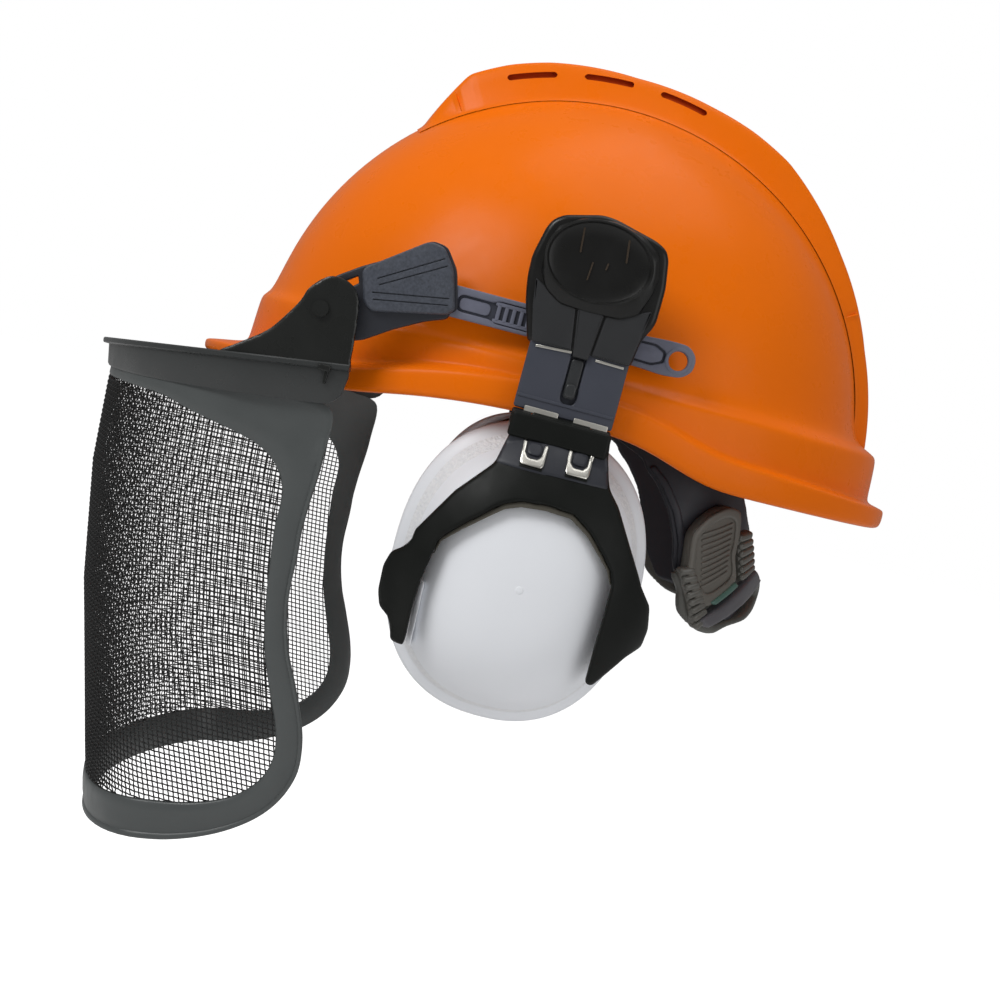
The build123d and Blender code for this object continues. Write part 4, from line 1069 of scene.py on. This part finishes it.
def tilted(v):
    """Turns level brow-guard points to the visor's slope about its rear edge."""
    y, z = v[:, 1] - VISOR_REAR[0], v[:, 2].copy()
    v[:, 1] = VISOR_REAR[0] + y * math.cos(VISOR_TILT) - z * math.sin(VISOR_TILT)
    v[:, 2] = VISOR_REAR[1] + y * math.sin(VISOR_TILT) + z * math.cos(VISOR_TILT)
    return v


@functools.cache
def plan_at(z):
    """The visor's U-shaped plan at a height given to 0.1 mm."""
    levels, *columns = zip(*VISOR_SECTIONS)
    half, centre, depth = [np.interp(-z, np.negative(levels), column) for column in columns]
    return u_plan(half, -depth, centre, VISOR_END_Y)


def visor_plan(z):
    """The visor's U-shaped plan at one height."""
    return plan_at(round(float(z), 1))


def visor_point(run, z, offset=0.0):
    """A point on the visor's sheet, by distance from the front centre line and height."""
    x, y = u_point(visor_plan(z), run, offset)
    return float(x), float(y), float(z)


# (y, z) on the visor's left side, from the top front round the rear to the lower front
WINDOW_SIDE = [
    [(-140.0, -18.0), (-129.0, -20.0), (-117.5, -22.0), (-107.0, -24.0), (-99.0, -26.5)],
    [(-93.0, -30.5), (-88.5, -37.0), (-87.0, -44.0), (-86.0, -62.0), (-83.0, -83.0)],
    [(-79.0, -100.0), (-74.0, -113.0), (-69.0, -125.0), (-67.0, -134.0), (-67.5, -141.0)],
    [(-70.5, -148.0), (-77.0, -155.0), (-86.0, -160.0), (-97.0, -163.6), (-110.0, -166.0)],
]
RIM_SIDE = [
    [(-140.0, -8.0), (-125.0, -7.0), (-110.0, -6.0), (-98.0, -5.0), (-88.0, -5.0)],
    [(-77.0, -8.0), (-76.0, -26.0), (-76.8, -43.0), (-76.4, -60.0), (-75.8, -76.0)],
    [(-73.0, -90.0), (-66.0, -107.0), (-60.0, -121.0), (-57.2, -132.0), (-57.0, -142.0)],
    [(-61.0, -153.0), (-68.5, -162.5), (-80.0, -171.0), (-94.0, -177.4), (-108.0, -181.0)],
]


def edge_runs(side, top_z, bottom_z):
    """An edge of the rim as (run, z) from the front centre at the top round to the bottom."""
    points = [(0.0, top_z), (45.0, top_z), (80.0, top_z + 0.4)]
    for y, z in [point for group in side for point in group]:
        points.append((u_run(visor_plan(z), y), z))
    last_run, last_z = points[-1]
    points += [(last_run * 0.72, (last_z + bottom_z) / 2 - 1.2), (last_run * 0.4, bottom_z), (0.0, bottom_z)]
    return points


def smooth_open(points, steps=6):
    """An open Catmull-Rom curve through points."""
    pts = np.asarray(points, float)
    pts = np.vstack([2 * pts[0] - pts[1], pts, 2 * pts[-1] - pts[-2]])
    out = []
    for i in range(1, len(pts) - 2):
        a, b, c, d = pts[i - 1:i + 3]
        for t in np.arange(steps) / steps:
            out.append(0.5 * (2 * b + (c - a) * t + (2 * a - 5 * b + 4 * c - d) * t**2
                              + (3 * b - a - 3 * c + d) * t**3))
    out.append(pts[-2])
    return np.array(out)


WINDOW_EDGE = smooth_open(edge_runs(WINDOW_SIDE, -18.5, -172.5))
RIM_EDGE = smooth_open(edge_runs(RIM_SIDE, -9.0, -186.5))
RIM_TOP = (-14.0, 12.0)        # below this z the rim thickens to its full section over this height
RIM_TOP_SHARE = 0.35           # share of its section at the top, where the brow guard covers it
RIM_SECTION = [
    # share of the way from the window to the outer edge, distance outwards
    (0.0, -0.8), (0.0, 0.5), (0.05, 1.2), (0.28, 1.7), (0.6, 1.8), (0.84, 1.3), (0.88, 1.9),
    (0.97, 2.1), (1.0, 1.4), (1.0, -0.6), (0.9, -1.2), (0.1, -1.2),
]


def visor_rim():
    """The moulded edge round the mesh, with a bead along its outside."""
    rows = []
    half = list(zip(WINDOW_EDGE, RIM_EDGE))
    loop = [(inner, outer, 1) for inner, outer in half]
    loop += [(inner, outer, -1) for inner, outer in reversed(half[1:-1])]
    for inner, outer, side in loop:
        row = []
        for share, offset in RIM_SECTION:
            run, z = inner + (outer - inner) * share
            flat = RIM_TOP_SHARE + (1 - RIM_TOP_SHARE) * float(soft_step((RIM_TOP[0] - z) / RIM_TOP[1]))
            row.append(visor_point(side * max(run, 1e-6), z, offset * flat))
        rows.append(row)
    return sheet_grid(rows, wrap_rows=True, wrap_columns=True)


def inside_window(run, z, margin=1.6):
    """Whether a point lies in the window, or just under its edge."""
    run = abs(run)
    past_centre = [(-10.0, WINDOW_EDGE[-1][1]), (-10.0, WINDOW_EDGE[0][1])]
    ring = np.vstack([WINDOW_EDGE, past_centre])
    ax, ay = ring[:, 0], ring[:, 1]
    bx, by = np.roll(ax, -1), np.roll(ay, -1)
    crossing = (ay > z) != (by > z)
    hit = run < (bx - ax) * (z - ay) / np.where(by == ay, 1e-9, by - ay) + ax
    if np.count_nonzero(crossing & hit) % 2:
        return True
    return bool(np.min(np.hypot(WINDOW_EDGE[:, 0] - run, WINDOW_EDGE[:, 1] - z)) < margin)


def wires(runs, heights, upright):
    """Crimped wires of the mesh one way, each bent over and under the other set."""
    paths = []
    outer, inner = (runs, heights) if upright else (heights, runs)
    for i, first in enumerate(outer):
        paths.append([])
        for j, second in enumerate(inner):
            run, z = (first, second) if upright else (second, first)
            if inside_window(run, z):
                crimp = WIRE_RADIUS * (1 if (i + j) % 2 == upright else -1)
                paths[-1].append(visor_point(run, z, crimp))
            else:
                paths.append([])
    return merge(*[tube(path, WIRE_RADIUS) for path in paths if len(path) > 1])


def mesh_wires():
    """Upright and level wires of the visor's mesh."""
    half = np.arange(MESH_PITCH / 2, MESH_REACH, MESH_PITCH)
    runs = np.concatenate([-half[::-1], half])
    heights = np.arange(*MESH_HEIGHTS, -MESH_PITCH)
    return wires(runs, heights, True), wires(runs, heights, False)


GUARD_CORNER = 9.0             # radius of the guard's lower rear corner
GUARD_HEIGHT = (9.8, 14.6)     # height of its band in front and at the sides
GUARD_END_HEIGHT = 4.6         # and at its very end
GUARD_LIP = 1.5                # how far the lip stands out in front
GUARD_LIP_RUN = 110.0          # distance round the guard over which it fades
LEDGE_STRAIGHT = 35.0          # near its end the ledge follows the guard's side
LEDGE_HALF = (104.0, 44.0)     # half width and depth of the ledge's inner edge
LEDGE_Y = -110.0               # centre of that edge's curve
LEDGE_SIDE_SHARE = 0.925       # half width of the ledge's straight end, as a share of the guard's


def guard_height(run, total):
    """Height of the brow guard's band: low in front, deeper at the sides, rounded off at its end."""
    at = abs(run)
    height = GUARD_HEIGHT[0] + (GUARD_HEIGHT[1] - GUARD_HEIGHT[0]) * float(soft_step(at / total))
    left = total - at
    if left < GUARD_CORNER:
        corner = math.sqrt(max(0.0, 1 - (1 - left / GUARD_CORNER) ** 2))
        height = GUARD_END_HEIGHT + (height - GUARD_END_HEIGHT) * corner
    return height


def ledge_edge(run, total):
    """(x, y) of the ledge's inner edge."""
    x, y = map(float, u_point(GUARD_PLAN, run, 0.0))
    if abs(run) > total - LEDGE_STRAIGHT:
        return LEDGE_SIDE_SHARE * x, y
    lean = math.atan2(x, LEDGE_Y - y)
    return LEDGE_HALF[0] * math.sin(lean), LEDGE_Y - LEDGE_HALF[1] * math.cos(lean)


def brow_guard():
    """The brow guard: a flat ledge with a thin lip and a deep band below it."""
    total = GUARD_PLAN[2][-1]
    rows = []
    for run in np.linspace(-total, total, 181):
        inner = ledge_edge(run, total)
        height = guard_height(run, total)
        draft = 0.03 * height
        lip = GUARD_LIP * (1 - float(soft_step(abs(run) / GUARD_LIP_RUN)))
        outer = [   # distance outwards, z
            (lip - 0.5, 0.3), (lip, -0.2), (lip, -1.5), (lip - 0.4, -1.9), (-1.2, -2.2),
            (-1.2 - draft, -height + 0.8), (-1.6 - draft, -height), (-3.2 - draft, -height), (-3.6, -2.4),
        ]
        section = [(*map(float, u_point(GUARD_PLAN, run, offset)), z) for offset, z in outer]
        rows.append([(*inner, 0.3), *section, (*inner, -2.0)])
    return mapped(closed_rings(rows), tilted)


EAR_OUTLINE = [
    (-122.0, 2.4), (-116.0, 7.6), (-107.0, 14.5), (-102.0, 21.0), (-98.0, 27.6), (-96.0, 33.0),
    (-92.0, 37.5), (-88.5, 39.4), (-83.3, 39.0), (-79.4, 36.4), (-77.4, 32.6), (-76.3, 26.0),
    (-75.6, 20.0), (-75.0, 12.0), (-75.2, 8.8), (-86.0, 7.2), (-104.0, 4.4),
]
BEND_Y = -101.0                # in front of this line the ear leans inwards
BEND_SLOPE = 0.16


def guard_ears():
    """Left hinge ear of the brow guard: a thick sheet bent inwards in front, with a clip at its foot."""
    outline = smooth_loop(EAR_OUTLINE, 4).tolist()
    sheet = remeshed(side_plate(outline, (109.4, 111.8), 0.8), 0.7, 1)

    def bend(v):
        v[:, 0] -= BEND_SLOPE * np.maximum(0.0, BEND_Y - v[:, 1])
        return v

    clip = side_plate(box_outline((-85.6, -81.0), (5.8, 8.2), 0.8), (111.4, 113.6), 0.5)
    stem = side_plate(box_outline((-82.8, -81.6), (1.4, 6.4), 0.4), (110.8, 112.6), 0.3)
    return merge(mapped(sheet, bend), clip, stem)


STRAP_EYE = (38.3, 42.0)
STRAP_OUTLINE = [
    (-58.0, 36.2), (-2.0, 36.6), (26.0, 36.2), (34.0, 35.6), (41.0, 36.4), (44.4, 39.6),
    (44.4, 44.8), (41.0, 48.2), (34.0, 48.4), (26.0, 47.8), (-58.0, 47.8),
]
STRAP_POCKET = [
    (-44.0, 38.9), (-31.0, 38.9), (-29.0, 37.9), (-14.0, 37.9), (-14.0, 46.1), (-29.0, 46.1),
    (-31.0, 45.1), (-44.0, 45.1),
]
STRAP_LOBE = [(14.0, 38.6), (29.0, 38.0), (33.4, 40.0), (33.4, 44.0), (29.0, 46.0), (14.0, 45.4)]
STRAP_LOBE_FLOOR = [(14.9, 39.3), (28.8, 38.8), (32.5, 40.5), (32.5, 43.5), (28.8, 45.2), (14.9, 44.7)]


def visor_strap():
    """Left slotted strap: raised border, pocket, ladder slots and a round end with an eye."""
    eye, boss_edge, boss_hole = [disc(radius, STRAP_EYE, 32) for radius in (3.5, 4.9, 3.7)]
    outline = rounded(STRAP_OUTLINE, 3.0)
    # The core is painted dark as painted shade where it shows through the border's slots and gaps.
    core = side_plate(outline, (103.3, 105.2), 0.4, holes=[eye], index=1)
    holes = [eye, rounded(STRAP_POCKET, 2.6), rounded(STRAP_LOBE, 1.2)]
    border = side_plate(outline, (104.6, 106.3), 0.5, holes=holes)
    boss = side_plate(boss_edge, (105.8, 106.5), 0.3, holes=[boss_hole])
    floors = [side_plate(box_outline((-43.0, -31.6), (39.8, 44.2), 2.0), (104.6, 105.7), 0.3),
              side_plate(rounded(STRAP_LOBE_FLOOR, 1.0), (104.6, 105.9), 0.3)]
    ladder = [box_outline((y, y + 1.5), (38.9, 45.1), 0.3) for y in (-29.4, -26.6, -23.8, -21.0, -18.2)]
    ladder += [box_outline((-30.2, -15.0), rail, 0.4) for rail in ((38.2, 39.6), (44.4, 45.8))]
    return merge(core, border, boss, *floors, *[side_plate(bar, (104.6, 106.0), 0.3) for bar in ladder])


WEDGE_OUTLINE = [
    (-79.4, 43.4), (-78.8, 45.4), (-58.7, 60.3), (-53.0, 59.6), (-47.8, 52.6), (-43.8, 38.9), (-46.1, 36.5),
    (-73.1, 30.7), (-76.4, 33.3),
]
WEDGE_ARM = [
    (-92.0, 18.0), (-84.0, 17.4), (-74.0, 19.6), (-63.6, 26.6), (-53.5, 32.2), (-45.4, 35.2),
    (-45.0, 40.0), (-60.0, 50.0), (-70.0, 51.4), (-80.0, 45.6), (-88.0, 40.0), (-95.0, 33.0),
]
WEDGE_GROOVES = [
    ((-73.4, 42.6), (-51.8, 55.6)), ((-72.2, 40.6), (-50.4, 53.2)),
    ((-74.0, 37.4), (-46.8, 42.2)), ((-73.2, 35.0), (-46.6, 39.8)),
]


def visor_wedge():
    """Left tension housing: a base with its arm, and a raised grained cap with grooves."""
    window = rounded([(-84.6, 38.8), (-80.6, 41.8), (-79.6, 39.4), (-83.0, 36.6)], 0.6)
    base = side_plate(rounded(WEDGE_ARM, 2.0), (103.0, 107.0), 0.7, index=1, holes=[window])
    backing = [(y + 0.9, z + 0.5) for y, z in WEDGE_OUTLINE]
    back = side_plate(rounded(backing, 2.0), (101.4, 107.2), 0.5, index=1)
    body = side_plate(rounded(WEDGE_OUTLINE, 2.0), (100.8, 108.4), 0.8)
    grooves = [bar_outline(start, end, 0.22) for start, end in WEDGE_GROOVES]
    face = side_plate(rounded(shrunk(WEDGE_OUTLINE, 0.96), 1.6), (107.0, 109.3), 0.12, holes=grooves)
    nub = side_plate(disc(1.6, (-79.0, 31.4), 20), (106.0, 108.4), 0.5)
    return merge(body, face, base, back, nub)


def make_visor():
    """The visor with its mesh, and the straps and housings that carry it."""
    warp, weft = mesh_wires()
    add("mesh_upright_wires", warp, [MESH_BLACK], "visor", ["visor_mesh"], "mesh_black", sharp=180)
    add("mesh_level_wires", weft, [MESH_BLACK], "visor", ["visor_mesh"], "mesh_black", sharp=180)
    add("mesh_frame", visor_rim(), [RIM_GREY], "visor", ["visor_rim"], "rim_grey", sharp=55)
    ears = guard_ears()
    add("brow_ledge", brow_guard(), [GUARD_GREY], "visor", ["brow_guard"], "gloss_black", sharp=40)
    add("hinge_ear_left", ears, [GLOSS_BLACK], "visor", ["brow_guard"], "gloss_black")
    add("hinge_ear_right", mirrored(ears), [GLOSS_BLACK], "visor", ["brow_guard"], "gloss_black")
    add_pair("slotted_strap", visor_strap(), [STRAP_BLUE, STRAP_SLOT_SHADE], "helmet", ["visor_strap_{side}"],
             "carrier_black")
    add_pair("tension_housing", visor_wedge(), [CARRIER, PLATE_BLACK], "visor_carrier",
             ["visor_wedge_{side}"], "carrier_black")


# ---- nape band --------------------------------------------------------------------------
NAPE_PLAN = u_plan(80.6, 48.0, 46.0, -12.0)


def on_nape(outline):
    """Side-view (y, z) points as (run, z) on the nape band, for its left half."""
    return [(u_run(NAPE_PLAN, y), z) for y, z in outline]


def wrapped(form):
    """Bends a plate whose outline is (run, z) round the nape band."""
    def change(v):
        x, y = u_point(NAPE_PLAN, v[:, 0], v[:, 2])
        return np.stack([x, y, v[:, 1]], 1)
    return mapped(form, change)


def nape_plate(outline, low, high, bevel=0.5, voxel=1.0, holes=()):
    """A plate on the nape band from low to high outside its inner face; its outline is in (run, z)."""
    return wrapped(remeshed(plate(outline, low, high, bevel, holes), voxel, 2))


NAPE_ARM = [
    (14.0, 30.0), (14.0, 14.0), (28.0, 8.0), (37.0, 4.3), (39.0, 1.2), (45.0, -4.0), (51.5, -12.6),
    (56.0, -23.0), (57.6, -30.6), (61.7, -38.0), (65.3, -44.0), (69.7, -50.0), (84.0, -50.0),
    (90.0, -47.0), (90.0, -18.0), (84.0, -8.0), (80.0, -1.0), (72.0, 8.0), (58.0, 18.0), (44.0, 28.0),
]


NAPE_RIB = [
    (40.0, 1.8), (46.0, -3.2), (52.8, -12.2), (57.4, -22.6), (59.0, -30.0), (63.0, -37.4), (66.6, -43.4),
    (69.0, -41.5), (65.2, -35.4), (61.6, -29.0), (60.0, -21.4), (55.4, -10.6), (48.4, -1.2), (42.0, 3.6),
]


def make_nape():
    """The sliding nape band and its adjuster."""
    arm = nape_plate(rounded(on_nape(NAPE_ARM), 3.0), 0.0, 2.2, 0.6)
    rib = nape_plate(rounded(on_nape(NAPE_RIB), 1.0), 1.6, 3.2, 0.5, 0.7)
    add_pair("nape_arm", merge(arm, rib), [STRAP_GREY], "nape_band", ["nape_strap_{side}"], "harness_grey",
             sharp=180)
    half = u_run(NAPE_PLAN, 78.0)
    window = box_outline((-13.4, 13.4), (-45.8, -31.2), 2.0)
    housing = nape_plate(box_outline((-half, half), (-49.0, -29.0), 4.0), 2.3, 6.5, 1.0, 1.0, holes=[window])
    add("nape_housing", housing, [STRAP_GREY], "nape_band", ["adjuster_housing"], "adjuster_grey", sharp=180)
    make_grips()
    key = merge(
        remeshed(plate(box_outline((-12.8, 12.8), (-45.2, -31.8), 2.0), 3.4, 7.9, 1.2), 0.9, 2),
        *[plate(box_outline((-9.0, 9.0), (z, z + 1.0), 0.4), 7.5, 8.4, 0.3) for z in (-42.0, -39.0, -36.0)]
    )
    add("adjuster_button", wrapped(key), [WARM_GREY], "nape_key", ["push_key"], "adjuster_key", sharp=60)


# Finger grips in (run, z) on the nape band
GRIP_PAD = [
    (87.3, -33.6), (88.5, -27.6), (89.5, -20.1), (89.1, -16.6), (86.0, -11.0), (81.9, -7.2), (78.0, -5.1),
    (74.5, -4.9), (71.2, -6.8), (68.7, -14.4), (67.6, -23.1), (62.8, -32.3), (68.9, -38.9), (76.9, -43.9),
    (83.0, -40.7),
]
GRIP_LOOP = [
    (88.6, -32.2), (87.4, -40.1), (84.7, -47.9), (77.3, -52.3), (70.7, -54.4), (62.0, -54.4), (54.0, -51.2),
    (42.6, -48.1), (30.0, -44.0), (25.0, -38.0), (29.0, -33.0), (50.0, -26.5),
]
GRIP_HOLE = [
    (65.8, -50.6), (63.9, -47.1), (50.2, -40.8), (39.7, -35.3), (32.4, -37.8), (40.3, -42.6), (53.2, -47.9),
]
GRIP_BAR = [(78.7, -49.1), (73.8, -52.0), (33.0, -31.5), (47.7, -26.8)]
GRIP_STRIP = [(72.7, -42.6), (60.4, -33.7), (64.2, -32.4), (75.7, -41.9)]
FRONT_RIBS = [(90.5, -32.7), (79.1, -52.3), (74.0, -47.2), (85.2, -30.9)]
REAR_RIBS = [(68.2, -15.9), (59.3, -31.0), (48.0, -26.1), (59.9, -13.4)]
FINE_RIBS = [(86.2, -17.5), (81.0, -37.0), (69.5, -29.0), (73.7, -10.5)]


def rung(start, end, half, low, high, bevel, voxel):
    """A short bar on the nape band between two (run, z) points."""
    return nape_plate(rounded(bar_outline(start, end, half), half * 0.8, 4), low, high, bevel, voxel)


def between(a, b, share):
    """The point that lies a share of the way from a to b."""
    return tuple(np.array(a) * (1 - share) + np.array(b) * share)


def ribs(corners, count, half, low, high, bevel, voxel):
    """A row of ribs that fills a four-cornered patch of the nape band."""
    a, b, c, d = corners
    return [
        rung(between(a, b, k / (count - 1)), between(d, c, k / (count - 1)), half, low, high, bevel, voxel)
        for k in range(count)
    ]


def finger_loop():
    """The loop at the grip's rear end, which stands further out towards its tip, and a black floor in its
    hole as painted shade.
    """
    hole = smooth_loop(GRIP_HOLE, 4).tolist()
    ring = remeshed(plate(smooth_loop(GRIP_LOOP, 4).tolist(), 2.4, 6.4, 1.5, [hole]), 0.9, 2)
    # A black sheet in the loop's hole, as painted shade over the band.
    floor = painted(remeshed(plate(hole, 2.4, 3.6, 0.3), 0.9, 1), 5)

    def stand_out(v):
        v[:, 2] *= 1 + 0.6 * soft_step((62.0 - v[:, 0]) / 20.0)
        return v

    return merge(painted(wrapped(mapped(ring, stand_out)), 2), wrapped(floor))


def make_grips():
    """Finger grips: a framed pad with fine ribs, two rows of coarse ribs, a bar and a loop."""
    pad_edge = smooth_loop(GRIP_PAD, 4).tolist()
    pad = nape_plate(pad_edge, 2.3, 8.4, 1.4, 0.9)
    inside = smooth_loop(shrunk(GRIP_PAD, 0.76), 4).tolist()
    border = nape_plate(pad_edge, 7.6, 9.4, 0.7, 0.6, holes=[inside])
    fine = ribs(FINE_RIBS, 10, 0.6, 7.8, 9.0, 0.4, 0.4)
    coarse = [nape_plate(rounded(patch, 1.0), 3.0, 8.6, 0.6, 0.8) for patch in (FRONT_RIBS, REAR_RIBS)]
    coarse += ribs(FRONT_RIBS, 8, 1.5, 5.0, 9.8, 1.1, 0.5) + ribs(REAR_RIBS, 6, 1.6, 5.0, 9.8, 1.1, 0.5)
    bar = nape_plate(rounded(GRIP_BAR, 1.2), 4.0, 10.6, 1.4, 0.8)
    strip = nape_plate(rounded(GRIP_STRIP, 0.8), 3.0, 10.2, 0.5, 0.6)
    grip = merge(pad, border, *fine, painted(merge(*coarse), 1), finger_loop(), painted(bar, 3),
                 painted(strip, 4))
    # The last material paints the loop's hole black as painted shade.
    looks = [WARM_GREY, RIB_GREY, LOOP_GREY, BAR_GREY, TEAL_GREY, SATIN_BLACK]
    add_pair("adjuster_pad", grip, looks, "nape_band", ["adjuster_grip_{side}"], "adjuster_grey", sharp=180)


# ---- harness ----------------------------------------------------------------------------
WEBBING_INSET = 15.0           # from the shell's wall to the strap's foot
WEBBING_FOOT_Z = 29.6
WEBBING_SECTION = [   # distance across and outwards
    (-9.6, 0.0), (-10.0, -0.55), (-9.6, -1.1), (0.0, -0.9), (9.6, -1.1), (10.0, -0.55), (9.6, 0.0),
    (0.0, 0.15),
]


def crown_webbing(turn_sign, rise):
    """One woven strap over the crown, with a slight crown across it and folded edges."""
    x, y = band_point(KEY_ANGLE)
    span, heading = math.hypot(x, y) - WEBBING_INSET, turn_sign * math.atan2(y, x)
    rows = []
    for turn in np.linspace(0.0, math.pi, 90):
        row = []
        for across, lift in WEBBING_SECTION:
            a = (span + lift) * math.cos(turn)
            z = WEBBING_FOOT_Z + (rise + lift) * math.sin(turn)
            row.append((a * math.cos(heading) - across * math.sin(heading),
                        BAND[2] + a * math.sin(heading) + across * math.cos(heading), z))
        rows.append(row)
    return closed_rings(rows)


def crown_cushion():
    """Soft pad where the straps cross."""
    return swell(plate(disc(28.0, (0.0, BAND[2])), 95.8, 98.4, 1.0), 3.0, 4.0, 2.0)


HEADBAND_INSIDE = (77.6, 97.6)     # half width and half length
SWEATBAND_SPAN = (-158.0, -22.0)   # degrees round the head, from its left
SWEATBAND_CHANNELS = 9.0           # stitched channels in half a turn


def forehead_pad():
    """Sweatband: a padded strip round the forehead with stitched channels."""
    rows = []
    half_x, half_y = HEADBAND_INSIDE
    for turn in np.radians(np.linspace(*SWEATBAND_SPAN, 120)):
        puff = 0.5 + 0.5 * abs(math.sin(turn * SWEATBAND_CHANNELS))
        section = [   # depth from the headband, z
            (0.2, 12.6), (0.2, 35.4), (1.6, 35.8), (2.4 + puff, 33.0), (2.6 + puff, 24.0),
            (2.4 + puff, 15.0), (1.6, 12.2),
        ]
        rows.append([((half_x - d) * math.cos(turn), (half_y - d) * math.sin(turn), z) for d, z in section])
    return closed_rings(rows)


def make_harness():
    """Crown straps, pad and sweatband. The plastic band and keys stay as CAD nodes."""
    for name, sign, rise in (("lower", 1, 77.0), ("upper", -1, 79.0)):
        add(f"crown_webbing_{name}", crown_webbing(sign, rise), [WEBBING], "helmet", [f"crown_strap_{name}"],
            "webbing", sharp=60)
    pad = add("crown_cushion", crown_cushion(), [FOAM], "helmet", ["crown_pad"], "pad_foam", sharp=180,
              subdivide=1)
    band = add("forehead_pad", forehead_pad(), [SWEATBAND], "helmet", ["sweatband"], "sweatband_cloth",
               sharp=60)


# ---- CAD nodes that stay, stage, lights and camera ------------------------------------------
def dress_nodes():
    """Gives the CAD nodes that still show a material."""
    looks = {
        "harness_keys": STRAP_GREY, "headband": STRAP_GREY, "pivot_screw": GLOSS_BLACK,
        "muff_bracket": HUB_BLACK, "hinge_pin": STEEL, "cup_backplate": SATIN_BLACK,
    }
    for name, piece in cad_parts.items():
        for start, material in looks.items():
            if name.startswith(start):
                for place in piece.material_slots:
                    place.material = material
                if not piece.material_slots:
                    piece.data.materials.append(material)


def seen_by_camera(tree, others, camera):
    """A shader that is camera where the camera looks straight at it, and others in every other ray."""
    ray = new_node(tree, "LightPath").outputs["Is Camera Ray"]
    mix = new_node(tree, "MixShader", Fac=ray)
    tree.links.new(others, mix.inputs[1])
    tree.links.new(camera, mix.inputs[2])
    return mix.outputs["Shader"]


def pale(name, colour, glow):
    """Matt pale surface of the stage, lit up to white where the camera sees it."""
    material, tree, shader, coords = node_material(name)
    colours = two_tone(tree, noise(tree, coords, 300.0), colour, 0.99, 1.01)
    fill_in(tree, shader, Base_Color=colours, Roughness=0.9, Specular_IOR_Level=0.1)
    matt = shader.outputs["BSDF"]
    light = new_node(tree, "Emission", Strength=glow).outputs["Emission"]
    both = new_node(tree, "AddShader")
    tree.links.new(matt, both.inputs[0])
    tree.links.new(light, both.inputs[1])
    lit = seen_by_camera(tree, matt, both.outputs["Shader"])
    tree.links.new(lit, tree.nodes["Material Output"].inputs["Surface"])
    return material


def make_floor(height=-0.30, half=6.0):
    """A plain pale floor below the helmet."""
    mesh = bpy.data.meshes.new("floor")
    corners = [(-half, -half, height), (half, -half, height), (half, half, height), (-half, half, height)]
    mesh.from_pydata(corners, [], [(0, 1, 2, 3)])
    mesh.materials.append(pale("floor_white", (0.90, 0.90, 0.90), 0.80))
    floor = bpy.data.objects.new("floor", mesh)
    bpy.context.scene.collection.objects.link(floor)


FILL_LIGHT = 0.24              # strength of the white room's light on the helmet


def make_world():
    """A white room: white to the camera, and a softer fill light on the helmet."""
    world = bpy.data.worlds.new("studio")
    bpy.context.scene.world = world
    world.use_nodes = True
    tree = world.node_tree
    tree.nodes.clear()
    fill, seen = [
        new_node(tree, "Background", Color=(1.0, 1.0, 1.0, 1.0), Strength=strength).outputs["Background"]
        for strength in (FILL_LIGHT, 1.0)
    ]
    new_node(tree, "OutputWorld", Surface=seen_by_camera(tree, fill, seen))


def area_light(name, place, target, size, power):
    """A square softbox at place, aimed at target."""
    lamp = bpy.data.lights.new(name, "AREA")
    lamp.shape = "RECTANGLE"
    lamp.size, lamp.size_y = size
    lamp.energy = power
    holder = bpy.data.objects.new(name, lamp)
    holder.location = place
    holder.rotation_euler = (Vector(target) - Vector(place)).to_track_quat("-Z", "Y").to_euler()
    bpy.context.scene.collection.objects.link(holder)


def make_lights():
    """Soft key high on the camera's left, a fill on its right, and a wide light above."""
    area_light("key", (0.75, -0.85, 0.85), (0.05, -0.03, 0.06), (0.6, 0.6), 9.0)
    area_light("fill", (0.9, 0.9, 0.25), (0.05, 0.02, 0.0), (0.8, 0.8), 2.5)
    area_light("top", (0.1, 0.1, 1.3), (0.0, 0.0, 0.1), (1.0, 1.0), 5.5)


CAMERA_PLACE = (0.750, -0.018, 0.0185)
CAMERA_TARGET = (0.0, -0.00945, -0.02965)
CAMERA_ROLL = math.radians(15.0)   # the helmet sits tipped back in the picture
CAMERA_LENS = 64.29
CAMERA_SENSOR = 36.0


def make_camera():
    """The camera at the wearer's left, turned so that the helmet's brim rises to the front."""
    ahead = (Vector(CAMERA_TARGET) - Vector(CAMERA_PLACE)).normalized()
    right = Vector((0.0, math.cos(CAMERA_ROLL), math.sin(CAMERA_ROLL)))
    right = (right - right.dot(ahead) * ahead).normalized()
    up = right.cross(ahead)
    camera = bpy.data.objects.new("camera", bpy.data.cameras.new("camera"))
    turn = Matrix((right, up, -ahead)).transposed()
    camera.matrix_world = Matrix.Translation(CAMERA_PLACE) @ turn.to_4x4()
    camera.data.lens = CAMERA_LENS
    camera.data.sensor_width = CAMERA_SENSOR
    camera.data.clip_start = 0.01
    bpy.context.scene.collection.objects.link(camera)
    bpy.context.scene.camera = camera


make_camera()
make_world()
make_lights()
make_floor()
make_shell()
make_muffs()
make_visor()
make_nape()
make_harness()
dress_nodes()
bpy.context.scene.view_settings.view_transform = "Standard"
